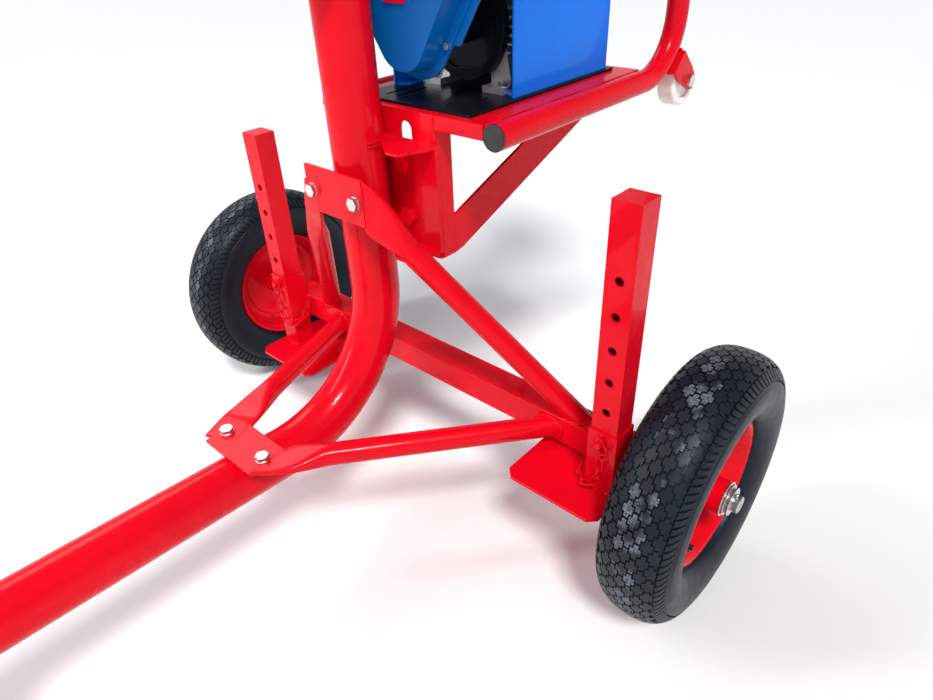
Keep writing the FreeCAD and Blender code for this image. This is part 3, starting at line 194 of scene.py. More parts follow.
def metal(name, dark, light, rough, grain=0.035):
    """Bare or plated metal with cloudy polish and fine grain."""
    s = Shader(name)
    s.colour(s.ramp(s.noise(32.0, 4.0), 0.3, 0.7, 0.0, 1.0), dark, light)
    s.roughness(s.ramp(s.noise(90.0), 0.3, 0.7, rough * 0.88, rough * 1.15))
    s.set(Metallic=1.0)
    s.bump((s.noise(650.0, 3.0), grain, 0.0003))
    return s.material


def plastic(name, dark, light, rough, soft=0.0):
    """Moulded plastic, a little uneven."""
    s = Shader(name)
    s.colour(s.ramp(s.noise(45.0, 5.0), 0.35, 0.7, 0.0, 1.0), dark, light)
    s.roughness(s.ramp(s.noise(110.0), 0.3, 0.7, rough * 0.8, rough * 1.2))
    s.set(Subsurface_Weight=soft, Subsurface_Scale=0.004)
    s.bump((s.noise(500.0, 3.0), 0.12, 0.0003))
    return s.material


def cast(name, dark, light, rough, metallic):
    """Rough cast surface."""
    s = Shader(name)
    s.colour(s.ramp(s.noise(55.0, 6.0), 0.3, 0.7, 0.0, 1.0), dark, light)
    s.roughness(s.ramp(s.noise(220.0), 0.3, 0.7, rough * 0.8, rough * 1.2))
    s.set(Metallic=metallic)
    s.bump((s.noise(300.0, 5.0), 0.45, 0.0006), (s.noise(1100.0, 2.0), 0.25, 0.0002))
    return s.material


def studio_floor():
    """Pale plain floor."""
    s = Shader("studio_floor")
    s.set(Base_Color=(0.86, 0.86, 0.86, 1.0), Roughness=0.7, Specular_IOR_Level=0.2)
    return s.material


FINISH = {
    "red_enamel": enamel("red_enamel", (0.74, 0.0015, 0.012), (0.64, 0.0012, 0.011), 0.26, 0.17),
    "blue_enamel": enamel("blue_enamel", (0.0006, 0.115, 0.42), (0.0006, 0.098, 0.36), 0.22, 0.20),
    "black_enamel": enamel("black_enamel", (0.006, 0.008, 0.013), (0.004, 0.005, 0.008), 0.32, 0.12),
    "zinc": metal("zinc", (0.60, 0.63, 0.62), (0.76, 0.77, 0.74), 0.27),
    "bare_steel": metal("bare_steel", (0.46, 0.47, 0.48), (0.62, 0.62, 0.62), 0.30),
    "tyre_rubber": tyre_rubber(),
    "belt_rubber": plastic("belt_rubber", (0.012, 0.012, 0.012), (0.02, 0.02, 0.02), 0.65),
    "nylon": plastic("nylon", (0.86, 0.85, 0.78), (0.93, 0.92, 0.87), 0.40, 0.15),
    "black_plastic": plastic("black_plastic", (0.010, 0.010, 0.011), (0.02, 0.02, 0.021), 0.38),
    "cast_aluminium": cast("cast_aluminium", (0.50, 0.51, 0.52), (0.66, 0.67, 0.68), 0.42, 0.9),
    "cast_iron": cast("cast_iron", (0.09, 0.09, 0.10), (0.17, 0.17, 0.18), 0.50, 0.8),
    "switch_grey": plastic("switch_grey", (0.035, 0.037, 0.042), (0.05, 0.052, 0.058), 0.36),
    "button_green": plastic("button_green", (0.01, 0.26, 0.06), (0.015, 0.32, 0.08), 0.25),
    "button_red": plastic("button_red", (0.55, 0.01, 0.01), (0.65, 0.015, 0.015), 0.25),
}
WORN = worn_rubber()
# Painted light: the side panels share the blue enamel of the guard, and this lighter copy of it stands in for
# the stronger light falling on the panels.
PANEL_BLUE_PAINTED_LIGHT = enamel("panel_blue_painted_light", (0.0006, 0.185, 0.90), (0.0006, 0.160, 0.78), 0.18, 0.24)


# ---- pieces ----------------------------------------------------------------------
def piece(name, mesh, body, finish, stands_for=(), smooth=35.0):
    """A finished object that rides on its body and takes the place of its CAD nodes."""
    obj = bpy.data.objects.new(name, mesh)
    bpy.context.scene.collection.objects.link(obj)
    if not mesh.materials:
        mesh.materials.append(FINISH[finish])
    mesh.shade_smooth()
    mesh.set_sharp_from_angle(angle=math.radians(smooth))
    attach(obj, body)
    if stands_for:
        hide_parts(*stands_for)
    return obj


def mesh_from(name, verts, faces):
    mesh = bpy.data.meshes.new(name)
    mesh.from_pydata([tuple(v) for v in verts], [], faces)
    mesh.validate()
    work = bmesh.new()
    work.from_mesh(mesh)
    bmesh.ops.recalc_face_normals(work, faces=work.faces)
    work.to_mesh(mesh)
    work.free()
    return mesh


def round_edges(obj, width, segments=2, angle=32.0):
    """A bevel on every real edge."""
    bevel = obj.modifiers.new("edge", "BEVEL")
    bevel.width = width * MM
    bevel.segments = segments
    bevel.limit_method = "ANGLE"
    bevel.angle_limit = math.radians(angle)
    bevel.harden_normals = True
    bevel.miter_outer = "MITER_ARC"
    return obj


def soften(node, width):
    """A CAD node with joined faces and rounded edges."""
    work = bmesh.new()
    work.from_mesh(frame["nodes"][node].data)
    bmesh.ops.remove_doubles(work, verts=work.verts, dist=0.000002)
    bmesh.ops.dissolve_limit(work, angle_limit=math.radians(0.4), verts=work.verts, edges=work.edges)
    mesh = bpy.data.meshes.new(node + "_look")
    work.to_mesh(mesh)
    work.free()
    if "custom_normal" in mesh.attributes:
        mesh.attributes.remove(mesh.attributes["custom_normal"])
    obj = piece(node + "_look", mesh, BODY_OF[node], SLOT_OF[node], [node])
    return round_edges(obj, width)


def rings_to_mesh(name, rings, closed=False):
    """Skin rings of equal size; open ends get caps."""
    count = len(rings[0])
    verts = [v for ring in rings for v in ring]
    faces = []
    spans = len(rings) if closed else len(rings) - 1
    for i in range(spans):
        low = i * count
        high = ((i + 1) % len(rings)) * count
        for k in range(count):
            n = (k + 1) % count
            faces.append((low + k, low + n, high + n, high + k))
    if not closed:
        faces.append(tuple(range(count)))
        faces.append(tuple(range((len(rings) - 1) * count, len(rings) * count)))
    return mesh_from(name, verts, faces)


def lathe(name, profile, centre, side, segments=128):
    """Turn (offset, radius) points about the X axis through a centre; side mirrors the offset."""
    rings = []
    for k in range(segments):
        turn = 2 * math.pi * k / segments
        s, c = math.sin(turn), math.cos(turn)
        rings.append([
            spot(centre[0] + side * offset, centre[1] + radius * s, centre[2] + radius * c)
            for offset, radius in profile
        ])
    return rings_to_mesh(name, rings, closed=True)


def frames_along(points, closed=False):
    """Direction and two steady side vectors at every point of a path."""
    made = []
    side = None
    count = len(points)
    for i, point in enumerate(points):
        if closed:
            along = (points[(i + 1) % count] - points[i - 1]).normalized()
        else:
            along = (points[min(i + 1, count - 1)] - points[max(i - 1, 0)]).normalized()
        if side is None:
            side = along.orthogonal().normalized()
        side = (side - along * side.dot(along)).normalized()
        made.append((point, along, side, along.cross(side)))
    return made


def tube_along(name, points, radii, closed=False, count=12):
    """A round bar along a path with a radius at every point."""
    rings = []
    for (point, _, u, v), radius in zip(frames_along(points, closed), radii):
        rings.append([
            point + (u * math.cos(2 * math.pi * k / count) + v * math.sin(2 * math.pi * k / count)) * radius
            for k in range(count)
        ])
    return rings_to_mesh(name, rings, closed)


def even_steps(points, step, closed=False):
    """The same path cut into equal short steps."""
    line = list(points) + ([points[0]] if closed else [])
    lengths = [0.0]
    for a, b in zip(line, line[1:]):
        lengths.append(lengths[-1] + (b - a).length)
    count = max(3, int(lengths[-1] / step))
    made = []
    at = 0
    for k in range(count if closed else count + 1):
        goal = lengths[-1] * k / count
        while at < len(line) - 2 and lengths[at + 1] < goal:
            at += 1
        share = (goal - lengths[at]) / max(lengths[at + 1] - lengths[at], 1e-9)
        made.append(line[at].lerp(line[at + 1], share))
    return made


def weld(name, points, body="chassis", radius=2.6, closed=False):
    """A painted-over weld bead with its ripples."""
    step = 1.1 * MM
    path = even_steps(points, step, closed)
    ripple = 3.4 * MM
    radii = []
    for i in range(len(path)):
        wave = math.cos(2 * math.pi * i * step / ripple)
        drift = 0.10 * math.sin(i * 0.37) + 0.06 * math.sin(i * 0.11)
        radii.append(radius * MM * (0.86 + 0.13 * wave + drift))
    return piece(name, tube_along(name, path, radii, closed, 8), body, "red_enamel", smooth=80.0)


# ---- wheels ----------------------------------------------------------------------
def smooth_curve(points, per_span=8):
    """Points on a smooth curve through the given (offset, radius) points."""
    made = []
    last = len(points) - 1
    for i in range(last):
        p0 = Vector(points[max(i - 1, 0)])
        p1 = Vector(points[i])
        p2 = Vector(points[i + 1])
        p3 = Vector(points[min(i + 2, last)])
        for k in range(per_span):
            t = k / per_span
            made.append(
                0.5 * (2 * p1 + (p2 - p0) * t + (2 * p0 - 5 * p1 + 4 * p2 - p3) * t * t
                       + (3 * p1 - p0 - 3 * p2 + p3) * t ** 3)
            )
    made.append(Vector(points[last]))
    return made


TREAD_HEIGHT = 2.6
SHOULDER_END = 61.5
SECTION = smooth_curve([
    (0.0, 205.0), (18.0, 203.6), (33.0, 198.4), (44.0, 189.0), (51.0, 176.0), (54.6, 162.0),
    (54.0, 148.0), (50.0, 134.0), (43.5, 122.5), (37.0, 117.0), (31.5, 115.2), (27.0, 112.5), (25.0, 106.0),
])


def section_walk(distance):
    """Position and outward direction on the tyre's section at a distance from the crown."""
    sign = -1.0 if distance < 0 else 1.0
    left = abs(distance)
    for a, b in zip(SECTION, SECTION[1:]):
        length = (b - a).length
        if left <= length or b is SECTION[-1]:
            along = (b - a) / length
            point = a + along * left
            return Vector((sign * point.x, point.y)), Vector((sign * -along.y, along.x))
        left -= length
    return SECTION[-1].copy(), Vector((sign, 0.0))


def on_tyre(centre_x, distance, turn, lift):
    """A point on the tyre: along the section, round the axle, above the carcass."""
    point, out = section_walk(distance)
    offset = point.x + out.x * lift
    radius = point.y + out.y * lift
    return spot(centre_x + offset, radius * math.sin(turn), AXLE_Z + radius * math.cos(turn))


def carcass_profile():
    """The tyre's smooth outside, sunk below the tread, with its ring groove, and a hollow inside."""
    outside = []
    steps = 64
    reach = 140.0
    for k in range(-steps, steps + 1):
        distance = reach * k / steps
        point, out = section_walk(distance)
        crown = 1.0 - min(max((abs(distance) - SHOULDER_END) / 2.5, 0.0), 1.0)
        groove = 1.4 * math.exp(-((abs(distance) - SHOULDER_END - 4.0) / 1.3) ** 2)
        sink = TREAD_HEIGHT * crown + groove
        outside.append((point.x - out.x * sink, point.y - out.y * sink))
    inside = [(x * 0.78, 112.0 + (r - 112.0) * 0.90) for x, r in reversed(outside[4:-4])]
    return outside + inside


PITCH_COUNT = 54
ROW_STEP = 11.8
ROWS_EACH_SIDE = 3
RIBS_PER_PITCH = 2
RIB_START = 44.5


def block_grid(edges_s, edges_t, cells):
    """The corner lattice and kept cells of one tread block."""
    return [(s, t) for t in edges_t for s in edges_s], len(edges_s), cells


def add_block(verts, faces, marks, centre_x, distance, turn, lattice, mark):
    """One raised block with sloping sides; marks keep the material of each face."""
    corners, wide, cells = lattice
    base = len(verts)
    for lift, shrink in ((0.0, 0.97), (-TREAD_HEIGHT - 0.4, 1.02)):
        for s, t in corners:
            angle = turn + t * shrink / TYRE_R
            verts.append(on_tyre(centre_x, distance + s * shrink, angle, lift))
    size = len(corners)
    used = {}
    for column, row in cells:
        a = row * wide + column
        quad = (a, a + 1, a + 1 + wide, a + wide)
        faces.append(tuple(base + i for i in quad))
        marks.append(mark)
        for i in range(4):
            edge = (quad[i], quad[(i + 1) % 4])
            used[edge] = True
    for first, second in used:
        if (second, first) in used:
            continue
        faces.append((base + second, base + first, base + first + size, base + second + size))
        marks.append(0)


def tread(name, centre_x):
    """Staggered rows of plus shapes that nearly touch, and curved shoulder ribs."""
    cross_cells = [(1, 0), (0, 1), (1, 1), (2, 1), (1, 2)]
    plus = block_grid((-7.4, -3.3, 3.3, 7.4), (-10.9, -5.1, 5.1, 10.9), cross_cells)
    verts, faces, marks = [], [], []
    pitch = 2 * math.pi / PITCH_COUNT
    for k in range(PITCH_COUNT):
        for row in range(-ROWS_EACH_SIDE, ROWS_EACH_SIDE + 1):
            turn = pitch * (k + 0.5 * (row % 2))
            add_block(verts, faces, marks, centre_x, ROW_STEP * row, turn, plus, int(abs(row) < 2))
        for side in (-1, 1):
            for rib in range(RIBS_PER_PITCH):
                turn = pitch * (k + (rib + 0.5) / RIBS_PER_PITCH)
                shoulder_bar(verts, faces, marks, centre_x, side, turn, pitch * 0.84 / RIBS_PER_PITCH)
    mesh = mesh_from(name, verts, faces)
    mesh.materials.append(FINISH["tyre_rubber"])
    mesh.materials.append(WORN)
    for face, mark in zip(mesh.polygons, marks):
        face.material_index = mark
    return mesh


def shoulder_bar(verts, faces, marks, centre_x, side, turn, width):
    """A curved rib from the outer blocks down to the ring groove."""
    base = len(verts)
    steps = 6
    for k in range(steps + 1):
        share = k / steps
        distance = side * (RIB_START + (SHOULDER_END - RIB_START - 0.6) * share)
        lean = 0.042 * share * share
        for lift, edge in ((-TREAD_HEIGHT - 0.4, 0.0), (0.0, 0.08), (0.0, 0.92), (-TREAD_HEIGHT - 0.4, 1.0)):
            verts.append(on_tyre(centre_x, distance, turn + lean + width * (edge - 0.5), lift))
    for k in range(steps):
        for i in range(3):
            a = base + 4 * k + i
            faces.append((a, a + 1, a + 5, a + 4))
            marks.append(0)
    faces.append((base, base + 1, base + 2, base + 3))
    end = base + 4 * steps
    faces.append((end, end + 1, end + 2, end + 3))
    marks.extend([0, 0])


def wheel(label, side):
    """Tyre, tread, pressed rim with its hub, and the valve."""
    centre = (side * TRACK_HALF, 0.0, AXLE_Z)
    body = label + "_wheel"
    rubber = lathe("tyre_" + label + "_carcass", carcass_profile(), centre, side, 160)
    piece("tyre_" + label + "_carcass", rubber, body, "tyre_rubber", ["tyre_" + label], smooth=60.0)
    blocks = tread("tread_" + label, centre[0])
    round_edges(piece("tyre_" + label + "_tread", blocks, body, "tyre_rubber", smooth=25.0), 0.35, 1, 30.0)
    dish = [
        (-27.0, 105.0), (-31.5, 107.5), (-33.0, 111.0), (-31.5, 114.0), (-28.0, 113.5), (-25.0, 108.0),
        (-19.0, 101.0), (19.0, 101.0), (25.0, 108.0), (28.0, 113.5), (31.5, 114.5), (33.0, 111.5),
        (31.5, 108.0), (27.5, 105.0),
        (19.0, 101.5), (10.0, 98.0), (4.0, 95.5), (2.0, 91.0), (3.2, 86.0), (6.5, 83.5), (9.5, 81.0),
        (10.5, 76.0), (11.5, 62.0), (13.5, 48.0), (15.0, 40.0), (17.5, 37.0), (20.0, 33.0), (20.5, 29.0),
        (20.5, 24.0), (8.0, 24.0), (7.0, 60.0), (5.5, 77.0), (2.5, 80.0), (-1.5, 84.0), (-2.5, 92.0),
        (-1.0, 98.0),
        (-20.0, 98.0),
    ]
    rim = piece("rim_" + label + "_pressing", lathe("rim_" + label, smooth_ring(dish), centre, side, 128),
                body, "red_enamel", ["rim_" + label], smooth=40.0)
    bore = 12.55
    tube = [
        (-HUB_HALF, bore), (-HUB_HALF, HUB_R - 1), (-HUB_HALF + 1, HUB_R),
        (HUB_HALF - 1, HUB_R), (HUB_HALF, HUB_R - 1), (HUB_HALF, bore),
    ]
    piece("hub_" + label, lathe("hub_" + label, tube, centre, side, 64), body, "red_enamel")
    for offset, radius in ((21.0, HUB_R + 1.2), (7.0, HUB_R + 1.2)):
        turns = [t * math.pi / 36 for t in range(72)]
        x = centre[0] + side * offset
        ring = [spot(x, radius * math.sin(turn), AXLE_Z + radius * math.cos(turn)) for turn in turns]
        weld("hub_weld_%s_%d" % (label, offset), ring, body, 2.2, closed=True)
    valve(label, side, body)
    return rim


def smooth_ring(points):
    """Round a closed (offset, radius) outline a little by cutting its corners twice."""
    ring = [Vector(p) for p in points]
    for _ in range(2):
        cut = []
        for i, point in enumerate(ring):
            following = ring[(i + 1) % len(ring)]
            cut.append(point.lerp(following, 0.22))
            cut.append(point.lerp(following, 0.78))
        ring = cut
    return [(p.x, p.y) for p in ring]


def valve(label, side, body):
    """A short rubber valve stem and its cap in the dish."""
    turn = math.radians(205)
    radius = 90.0
    root = Vector((side * (TRACK_HALF - 2), radius * math.sin(turn), AXLE_Z + radius * math.cos(turn)))
    path = [spot(*(root + Vector((side * x, 0, 0)))) for x in (0, 8, 10, 22, 22.5, 31)]
    radii = [r * MM for r in (6.0, 5.0, 3.6, 3.4, 4.2, 4.0)]
    piece("valve_" + label, tube_along("valve_" + label, path, radii, count=20), body, "black_plastic")


def axle():
    """The axle, painted between the wheels and plated where it shows outside them."""
    end = TRACK_HALF + HUB_HALF + 22.0
    outer = TRACK_HALF + HUB_HALF + 1.0
    radius = 12.5
    bar = [(-outer, 0.0), (-outer, radius), (outer, radius), (outer, 0.0)]
    mesh = lathe("axle_bar", bar, (0.0, 0.0, AXLE_Z), 1, 64)
    piece("axle_bar", mesh, "chassis", "red_enamel", ["axle_shaft"])
    for label, side in (("right", 1), ("left", -1)):
        tip = [
            (outer, 0.0), (outer, radius), (end - 7.5, radius), (end - 7.0, radius - 1.6),
            (end - 5.5, radius - 1.6), (end - 5.0, radius), (end - 1.2, radius), (end, radius - 1.2),
            (end, 4.0), (end - 0.8, 3.4), (end - 0.8, 0.0),
        ]
        mesh = lathe("axle_tip_" + label, tip, (0.0, 0.0, AXLE_Z), side, 64)
        piece("axle_tip_" + label, mesh, "chassis", "bare_steel")


def wheel_washers():
    """Plated washers outside each hub, a spacer inside it and a short split pin."""
    face = TRACK_HALF + HUB_HALF + 0.5
    inner = TRACK_HALF - HUB_HALF - 0.5
    bore = 12.6
    stack = [(0.0, bore)]
    for start, end, radius in ((0.0, 2.5, 26.0), (2.5, 5.7, 23.0), (5.7, 8.5, 19.0), (8.5, 11.5, 21.0)):
        stack += [(start, radius - 0.5), (start + 0.5, radius), (end - 0.5, radius), (end, radius - 0.5)]
    stack.append((11.5, bore))
    spacer = [(-8.0, bore), (-8.0, 19.5), (-7.5, 20.0), (-0.5, 20.0), (0.0, 19.5), (0.0, bore)]
    for label, side in (("right", 1), ("left", -1)):
        outside = lathe("washers_" + label, stack, (side * face, 0.0, AXLE_Z), side, 96)
        stands = ["axle_washers"] if side > 0 else []
        piece("washers_" + label, outside, "chassis", "zinc", stands, 30.0)
        inside = lathe("spacer_" + label, spacer, (side * inner, 0.0, AXLE_Z), side, 64)
        piece("spacer_" + label, inside, "chassis", "zinc", smooth=30.0)
        x = side * (face + 14.5)
        path = [spot(x, 0.0, AXLE_Z + z) for z in (-17.0, -16.4, 16.4, 17.0)]
        pin = tube_along("split_pin_" + label, path, [r * MM for r in (1.3, 1.9, 1.9, 1.3)], count=20)
        piece("split_pin_" + label, pin, "chassis", "zinc")


# ---- braces ----------------------------------------------------------------------
PRESSED = 92.0
PRESSED_THIN = PLATE_T / 2 + 0.25


def squashed_ring(middle, wide, broad, thin, narrow, power, count=48):
    """A rounded outline between a flat bar and a circle."""
    ring = []
    for k in range(count):
        turn = 2 * math.pi * k / count
        c, s = math.cos(turn), math.sin(turn)
        u = math.copysign(abs(c) ** (2 / power), c) * broad
        v = math.copysign(abs(s) ** (2 / power), s) * narrow
        ring.append(spot(*(middle + wide * u + thin * v)))
    return ring


def brace(name, root, wide, thin, half_width, meet, tail=None):
    """A round tube pressed flat where it leaves its plate; a tail runs on flat over the plate."""
    root, meet = Vector(root), Vector(meet)
    wide, thin = Vector(wide).normalized(), Vector(thin)
    line = (meet - root).normalized()
    side = (wide - line * wide.dot(line)).normalized()
    flat = thin - line * thin.dot(line)
    flat = (flat - side * flat.dot(side)).normalized()
    rings = []
    if tail is not None:
        rings.append(squashed_ring(root + Vector(tail), wide, half_width, thin, PRESSED_THIN, 7.0))
    length = (meet - root).length + BRACE_BITE
    for distance in [PRESSED * k / 22 for k in range(23)] + [length * 0.6, length]:
        share = min(distance / PRESSED, 1.0)
        soft = share * share * (3 - 2 * share)
        turned = min(share * 2.0, 1.0)
        rings.append(squashed_ring(
            root + line * distance,
            wide.lerp(side, turned).normalized(), half_width + (BRACE_R - half_width) * soft,
            thin.lerp(flat, turned).normalized(), PRESSED_THIN + (BRACE_R - PRESSED_THIN) * soft ** 1.3,
            2.0 + 5.0 * (1 - soft),
        ))
    return rings_to_mesh(name, rings)


def ring_where_tube_meets(start, end, radius, on_plane, normal, count=60):
    """The curve where a round tube meets a flat face."""
    start, end = Vector(start), Vector(end)
    on_plane, normal = Vector(on_plane), Vector(normal)
    along = (end - start).normalized()
    u = along.orthogonal().normalized()
    v = along.cross(u)
    made = []
    for k in range(count):
        turn = 2 * math.pi * k / count
        edge = start + (u * math.cos(turn) + v * math.sin(turn)) * radius
        reach = (on_plane - edge).dot(normal) / along.dot(normal)
        made.append(spot(*(edge + along * reach)))
    return made


def braces():
    """Four braces, each different, with their welds on the beam."""
    up, low = UPPER_PLATE, LOWER_PLATE
    up_y = up["y"] + PLATE_T / 2
    low_y = sum(low["y"]) / 2
    low_z = low["z"] + PLATE_T / 2
    top = BEAM_Z + SLEEVE / 2
    front = BEAM_Y - SLEEVE / 2
    upright, level = (0, 1, 0), (0, 0, 1)
    roots = {
        "upper right": (up["half_x"] - 4, up_y, sum(up["z"]) / 2),
        "upper left": (-up["half_x"] + 2, up_y, up["z"][0]),
        "lower right": (low["half_x"] - 4, low_y, low_z),
        "lower left": (-low["half_x"] - 5, low["y"][1] - 4, low_z),
    }
    shapes = {
        "upper right": ((0, 0, 1), upright, 33.0, None),
        "upper left": ((-0.97, 0, 0.24), upright, 18.0, (10, 0, 40)),
        "lower right": ((0, 1, 0), level, 30.0, None),
        "lower left": ((-0.91, -0.41, 0), level, 28.0, (18, -40, 0)),
    }
    for place, (wide, thin, half_width, tail) in shapes.items():
        root = roots[place]
        upper = place.startswith("upper")
        lean = 2 if place == "upper right" else 7
        meet = (BRACE_MEETS[place], BEAM_Y - lean, top) if upper else (BRACE_MEETS[place], front, BEAM_Z)
        label = place.replace(" ", "_")
        stands = ["braces_" + place.split()[0]] if place.endswith("right") else []
        mesh = brace("brace_" + label, root, wide, thin, half_width, meet, tail)
        piece("brace_" + label, mesh, "chassis", "red_enamel", stands, 50.0)
        plane = ((0, 0, top), (0, 0, 1)) if upper else ((0, front, 0), (0, 1, 0))
        ring = ring_where_tube_meets(root, meet, BRACE_R, *plane)
        weld("weld_" + label, ring, radius=3.0, closed=True)


# ---- chains ----------------------------------------------------------------------
LINK_STEP = 15.8


def smooth_path(points, per_span=8):
    """A smooth line through points in space."""
    flat = smooth_curve([(x, y) for x, y, _ in points], per_span)
    tall = smooth_curve([(z, 0.0) for _, _, z in points], per_span)
    return [Vector((a.x, a.y, b.x)) for a, b in zip(flat, tall)]


def link_mesh(name, centre, along, across, length, width, wire):
    """One bent-wire chain link."""
    reach = (length - width) / 2
    bend = (width - wire) / 2
    points = []
    for end in (1, -1):
        for k in range(13):
            turn = -math.pi / 2 + math.pi * k / 12
            offset = along * (reach + bend * math.cos(turn)) + across * bend * math.sin(turn)
            points.append(centre + offset * end)
    path = [spot(*p) for p in points]
    return tube_along(name, path, [wire / 2 * MM] * len(path), closed=True, count=12)


def chain(label, side):
    """The pin's chain: down the sleeve's face, round its foot and up the beam's front."""
    x, y, z = LEG_X, LEG_Y - SOCKET / 2, PIN_Z
    route = smooth_path([
        (x + 1, y - 7.6, z - 9.0), (x + 3.5, y - 7, z - 38), (x + 0.5, y - 7, z - 62), (x - 8, y - 7, z - 76),
        (x - 21, y - 7, z - 80), (x - 31, y, z - 79), (x - 33, y + 16, z - 75), (x - 32, y + 31, z - 64),
        (x - 31, y + 34.5, z - 44),
    ])
    joints = even_steps(route, LINK_STEP)
    spots = [Vector((leg_side(p.x, side), p.y, p.z)) for p in joints]
    across = Vector((1, 0, 0.25)).normalized()
    parts = []
    for start, end in zip(spots, spots[1:]):
        along = (end - start).normalized()
        across = along.cross(across).normalized()
        parts.append(((start + end) / 2, along, across))
    work = bmesh.new()
    for centre, along, across in parts:
        mesh = link_mesh("link", centre, along, across, 24.5, 12.5, 3.1)
        work.from_mesh(mesh)
        bpy.data.meshes.remove(mesh)
    tilt = Vector((side * 0.62, 0.0, -0.78)).normalized()
    hook = Vector((leg_side(x, side), y - 7.4, z)) + tilt * 2.0
    first = link_mesh("link", hook, tilt, tilt.cross(Vector((0, 1, 0))), 30.0, 17.5, 3.1)
    work.from_mesh(first)
    bpy.data.meshes.remove(first)
    mesh = bpy.data.meshes.new("pin_chain_" + label)
    work.to_mesh(mesh)
    work.free()
    stands = ["pin_chains"] if side > 0 else []
    return piece("pin_chain_" + label, mesh, "chassis", "red_enamel", stands, 60.0)


# ---- welds on the chassis --------------------------------------------------------
FORK_DROP = math.radians(42.0)


def square_ring(x, y, z, half_a, half_b, axis):
    """Corner points of a rectangle normal to an axis."""
    corners = [(-half_a, -half_b), (half_a, -half_b), (half_a, half_b), (-half_a, half_b)]
    if axis == "y":
        return [spot(x + a, y, z + b) for a, b in corners]
    return [spot(x + a, y + b, z) for a, b in corners]


def circle(centre, radius, normal, start=0.0, end=360.0, count=48):
    """Points of an arc about a centre."""
    normal = Vector(normal).normalized()
    u = normal.orthogonal().normalized()
    v = normal.cross(u)
    made = []
    for k in range(count + 1):
        turn = math.radians(start + (end - start) * k / count)
        made.append(spot(*(Vector(centre) + (u * math.cos(turn) + v * math.sin(turn)) * radius)))
    return made


def saddle(side, small, big, centre_y, z):
    """Where a level bar meets the column."""
    made = []
    for k in range(48):
        turn = 2 * math.pi * k / 48
        y = small * math.cos(turn)
        made.append(spot(side * math.sqrt(big * big - y * y), centre_y + y, z + small * math.sin(turn)))
    return made


def column_arc(z, low, high):
    """An arc on the column's skin between two headings; heading 0 is +X and 90 is +Y."""
    made = []
    for k in range(25):
        turn = math.radians(low + (high - low) * k / 24)
        made.append(spot((TUBE_R + 0.6) * math.cos(turn), COLUMN_Y + (TUBE_R + 0.6) * math.sin(turn), z))
    return made


def chassis_welds():
    """Beads at every joint that shows."""
    for label, side in (("right", 1), ("left", -1)):
        leg_x = leg_side(LEG_X, side)
        ring = square_ring(leg_x, BEAM_Y - SLEEVE / 2, BEAM_Z, SOCKET / 2 + 0.4, SLEEVE / 2, "y")
        weld("weld_sleeve_" + label, ring, closed=True)
        ring = square_ring(leg_x, LEG_Y, LEG_FOOT_TOP[label] + 0.6, LEG / 2 + 0.6, LEG / 2 + 0.6, "z")
        weld("weld_foot_" + label, ring, label + "_leg", 2.2, closed=True)
        weld("weld_grip_" + label, saddle(side, SKID_R + 0.4, TUBE_R, COLUMN_Y, 975), closed=True)
        skid_x = MACHINE_X + side * SKID_OFFSET
        seam_x = MACHINE_X + side * 139.4
        for index, (low, high) in enumerate(((-84, -52), (10, 52), (120, 162), (232, 270))):
            seam = [spot(seam_x, y, 676.6) for y in (low, (low + high) / 2, high)]
            weld("weld_skid_%s_%d" % (label, index), seam, radius=2.4)
        fork = Vector((skid_x, 269.5 + 103.5 * math.cos(FORK_DROP), 753.5 - 103.5 * math.sin(FORK_DROP)))
        across = Vector((0, -math.sin(FORK_DROP), -math.cos(FORK_DROP)))
        for end in (-1, 1):
            middle = fork + across * (20.5 * end)
            seam = [spot(*(middle + Vector((dx, 0, 0)))) for dx in (-15, 0, 15)]
            weld("weld_fork_%s_%d" % (label, end), seam, radius=2.4)
    for z in (641.6, 636.4, 492.6, 487.4):
        weld("weld_bracket_%d" % z, column_arc(z, -20, 70), radius=2.3)
    web = [spot(18.0, -95.0, z) for z in (495, 560, 634)]
    weld("weld_web", web, radius=2.6)
    tow = spot(0, DRAWBAR_END_Y, 255.05)
    ring = [tow + (p - tow) for p in circle((0, DRAWBAR_END_Y - 0.5, 255.05), TUBE_R + 0.2, (0, -1, 0.054))]
    weld("weld_tow", ring[:-1], closed=True)
    for end in (-1, 1):
        seam = [spot(TUBE_R - 1.2, -900 + end * (SOCKET / 2 + 0.7), z) for z in (232, 250, 268)]
        weld("weld_stand_%d" % end, seam, radius=2.4)


# ---- everything else keeps its CAD shape with softened edges ----------------------
SOFT_EDGES = {
    "axle_beam": 2.2, "leg_sleeves": 2.0, "leg_right": 2.4, "leg_left": 2.4, "stand_leg": 2.4,
    "stand_sleeve": 2.0, "axle_brackets": 0.8, "base_plate": 0.6, "bearings": 1.2,
    "brace_plates": 0.9, "bracket_bolts": 0.7, "chipper_knives": 0.3, "column_bracket": 0.9,
    "deck_plate": 0.6, "guard_cover": 0.8, "housing_back_plate": 0.6, "leg_pin_right": 0.5,
    "leg_pin_left": 0.5, "stand_pin": 0.5, "mount_channel": 0.7, "platform_braces": 0.8,
    "platform_frame": 1.6, "roller_forks": 0.7, "side_panel_left": 0.5, "side_panel_right": 0.5,
    "tow_eye": 1.2, "tube_brackets": 1.0, "zinc_fasteners": 0.5, "switch_box": 0.8,
    "motor_end_shield": 1.0, "motor_fan_cowl": 0.5, "motor_body": 0.5, "guard_front": 0.5,
    "guard_back": 0.5, "feed_hopper": 0.5, "discharge_chute": 0.5, "chute_deflector": 0.5,
    "tube_caps": 1.2,
}


def plain_nodes():
    """Paint the nodes that keep their CAD mesh."""
    for node, obj in frame["nodes"].items():
        obj.data.materials.clear()
        obj.data.materials.append(FINISH[SLOT_OF[node]])


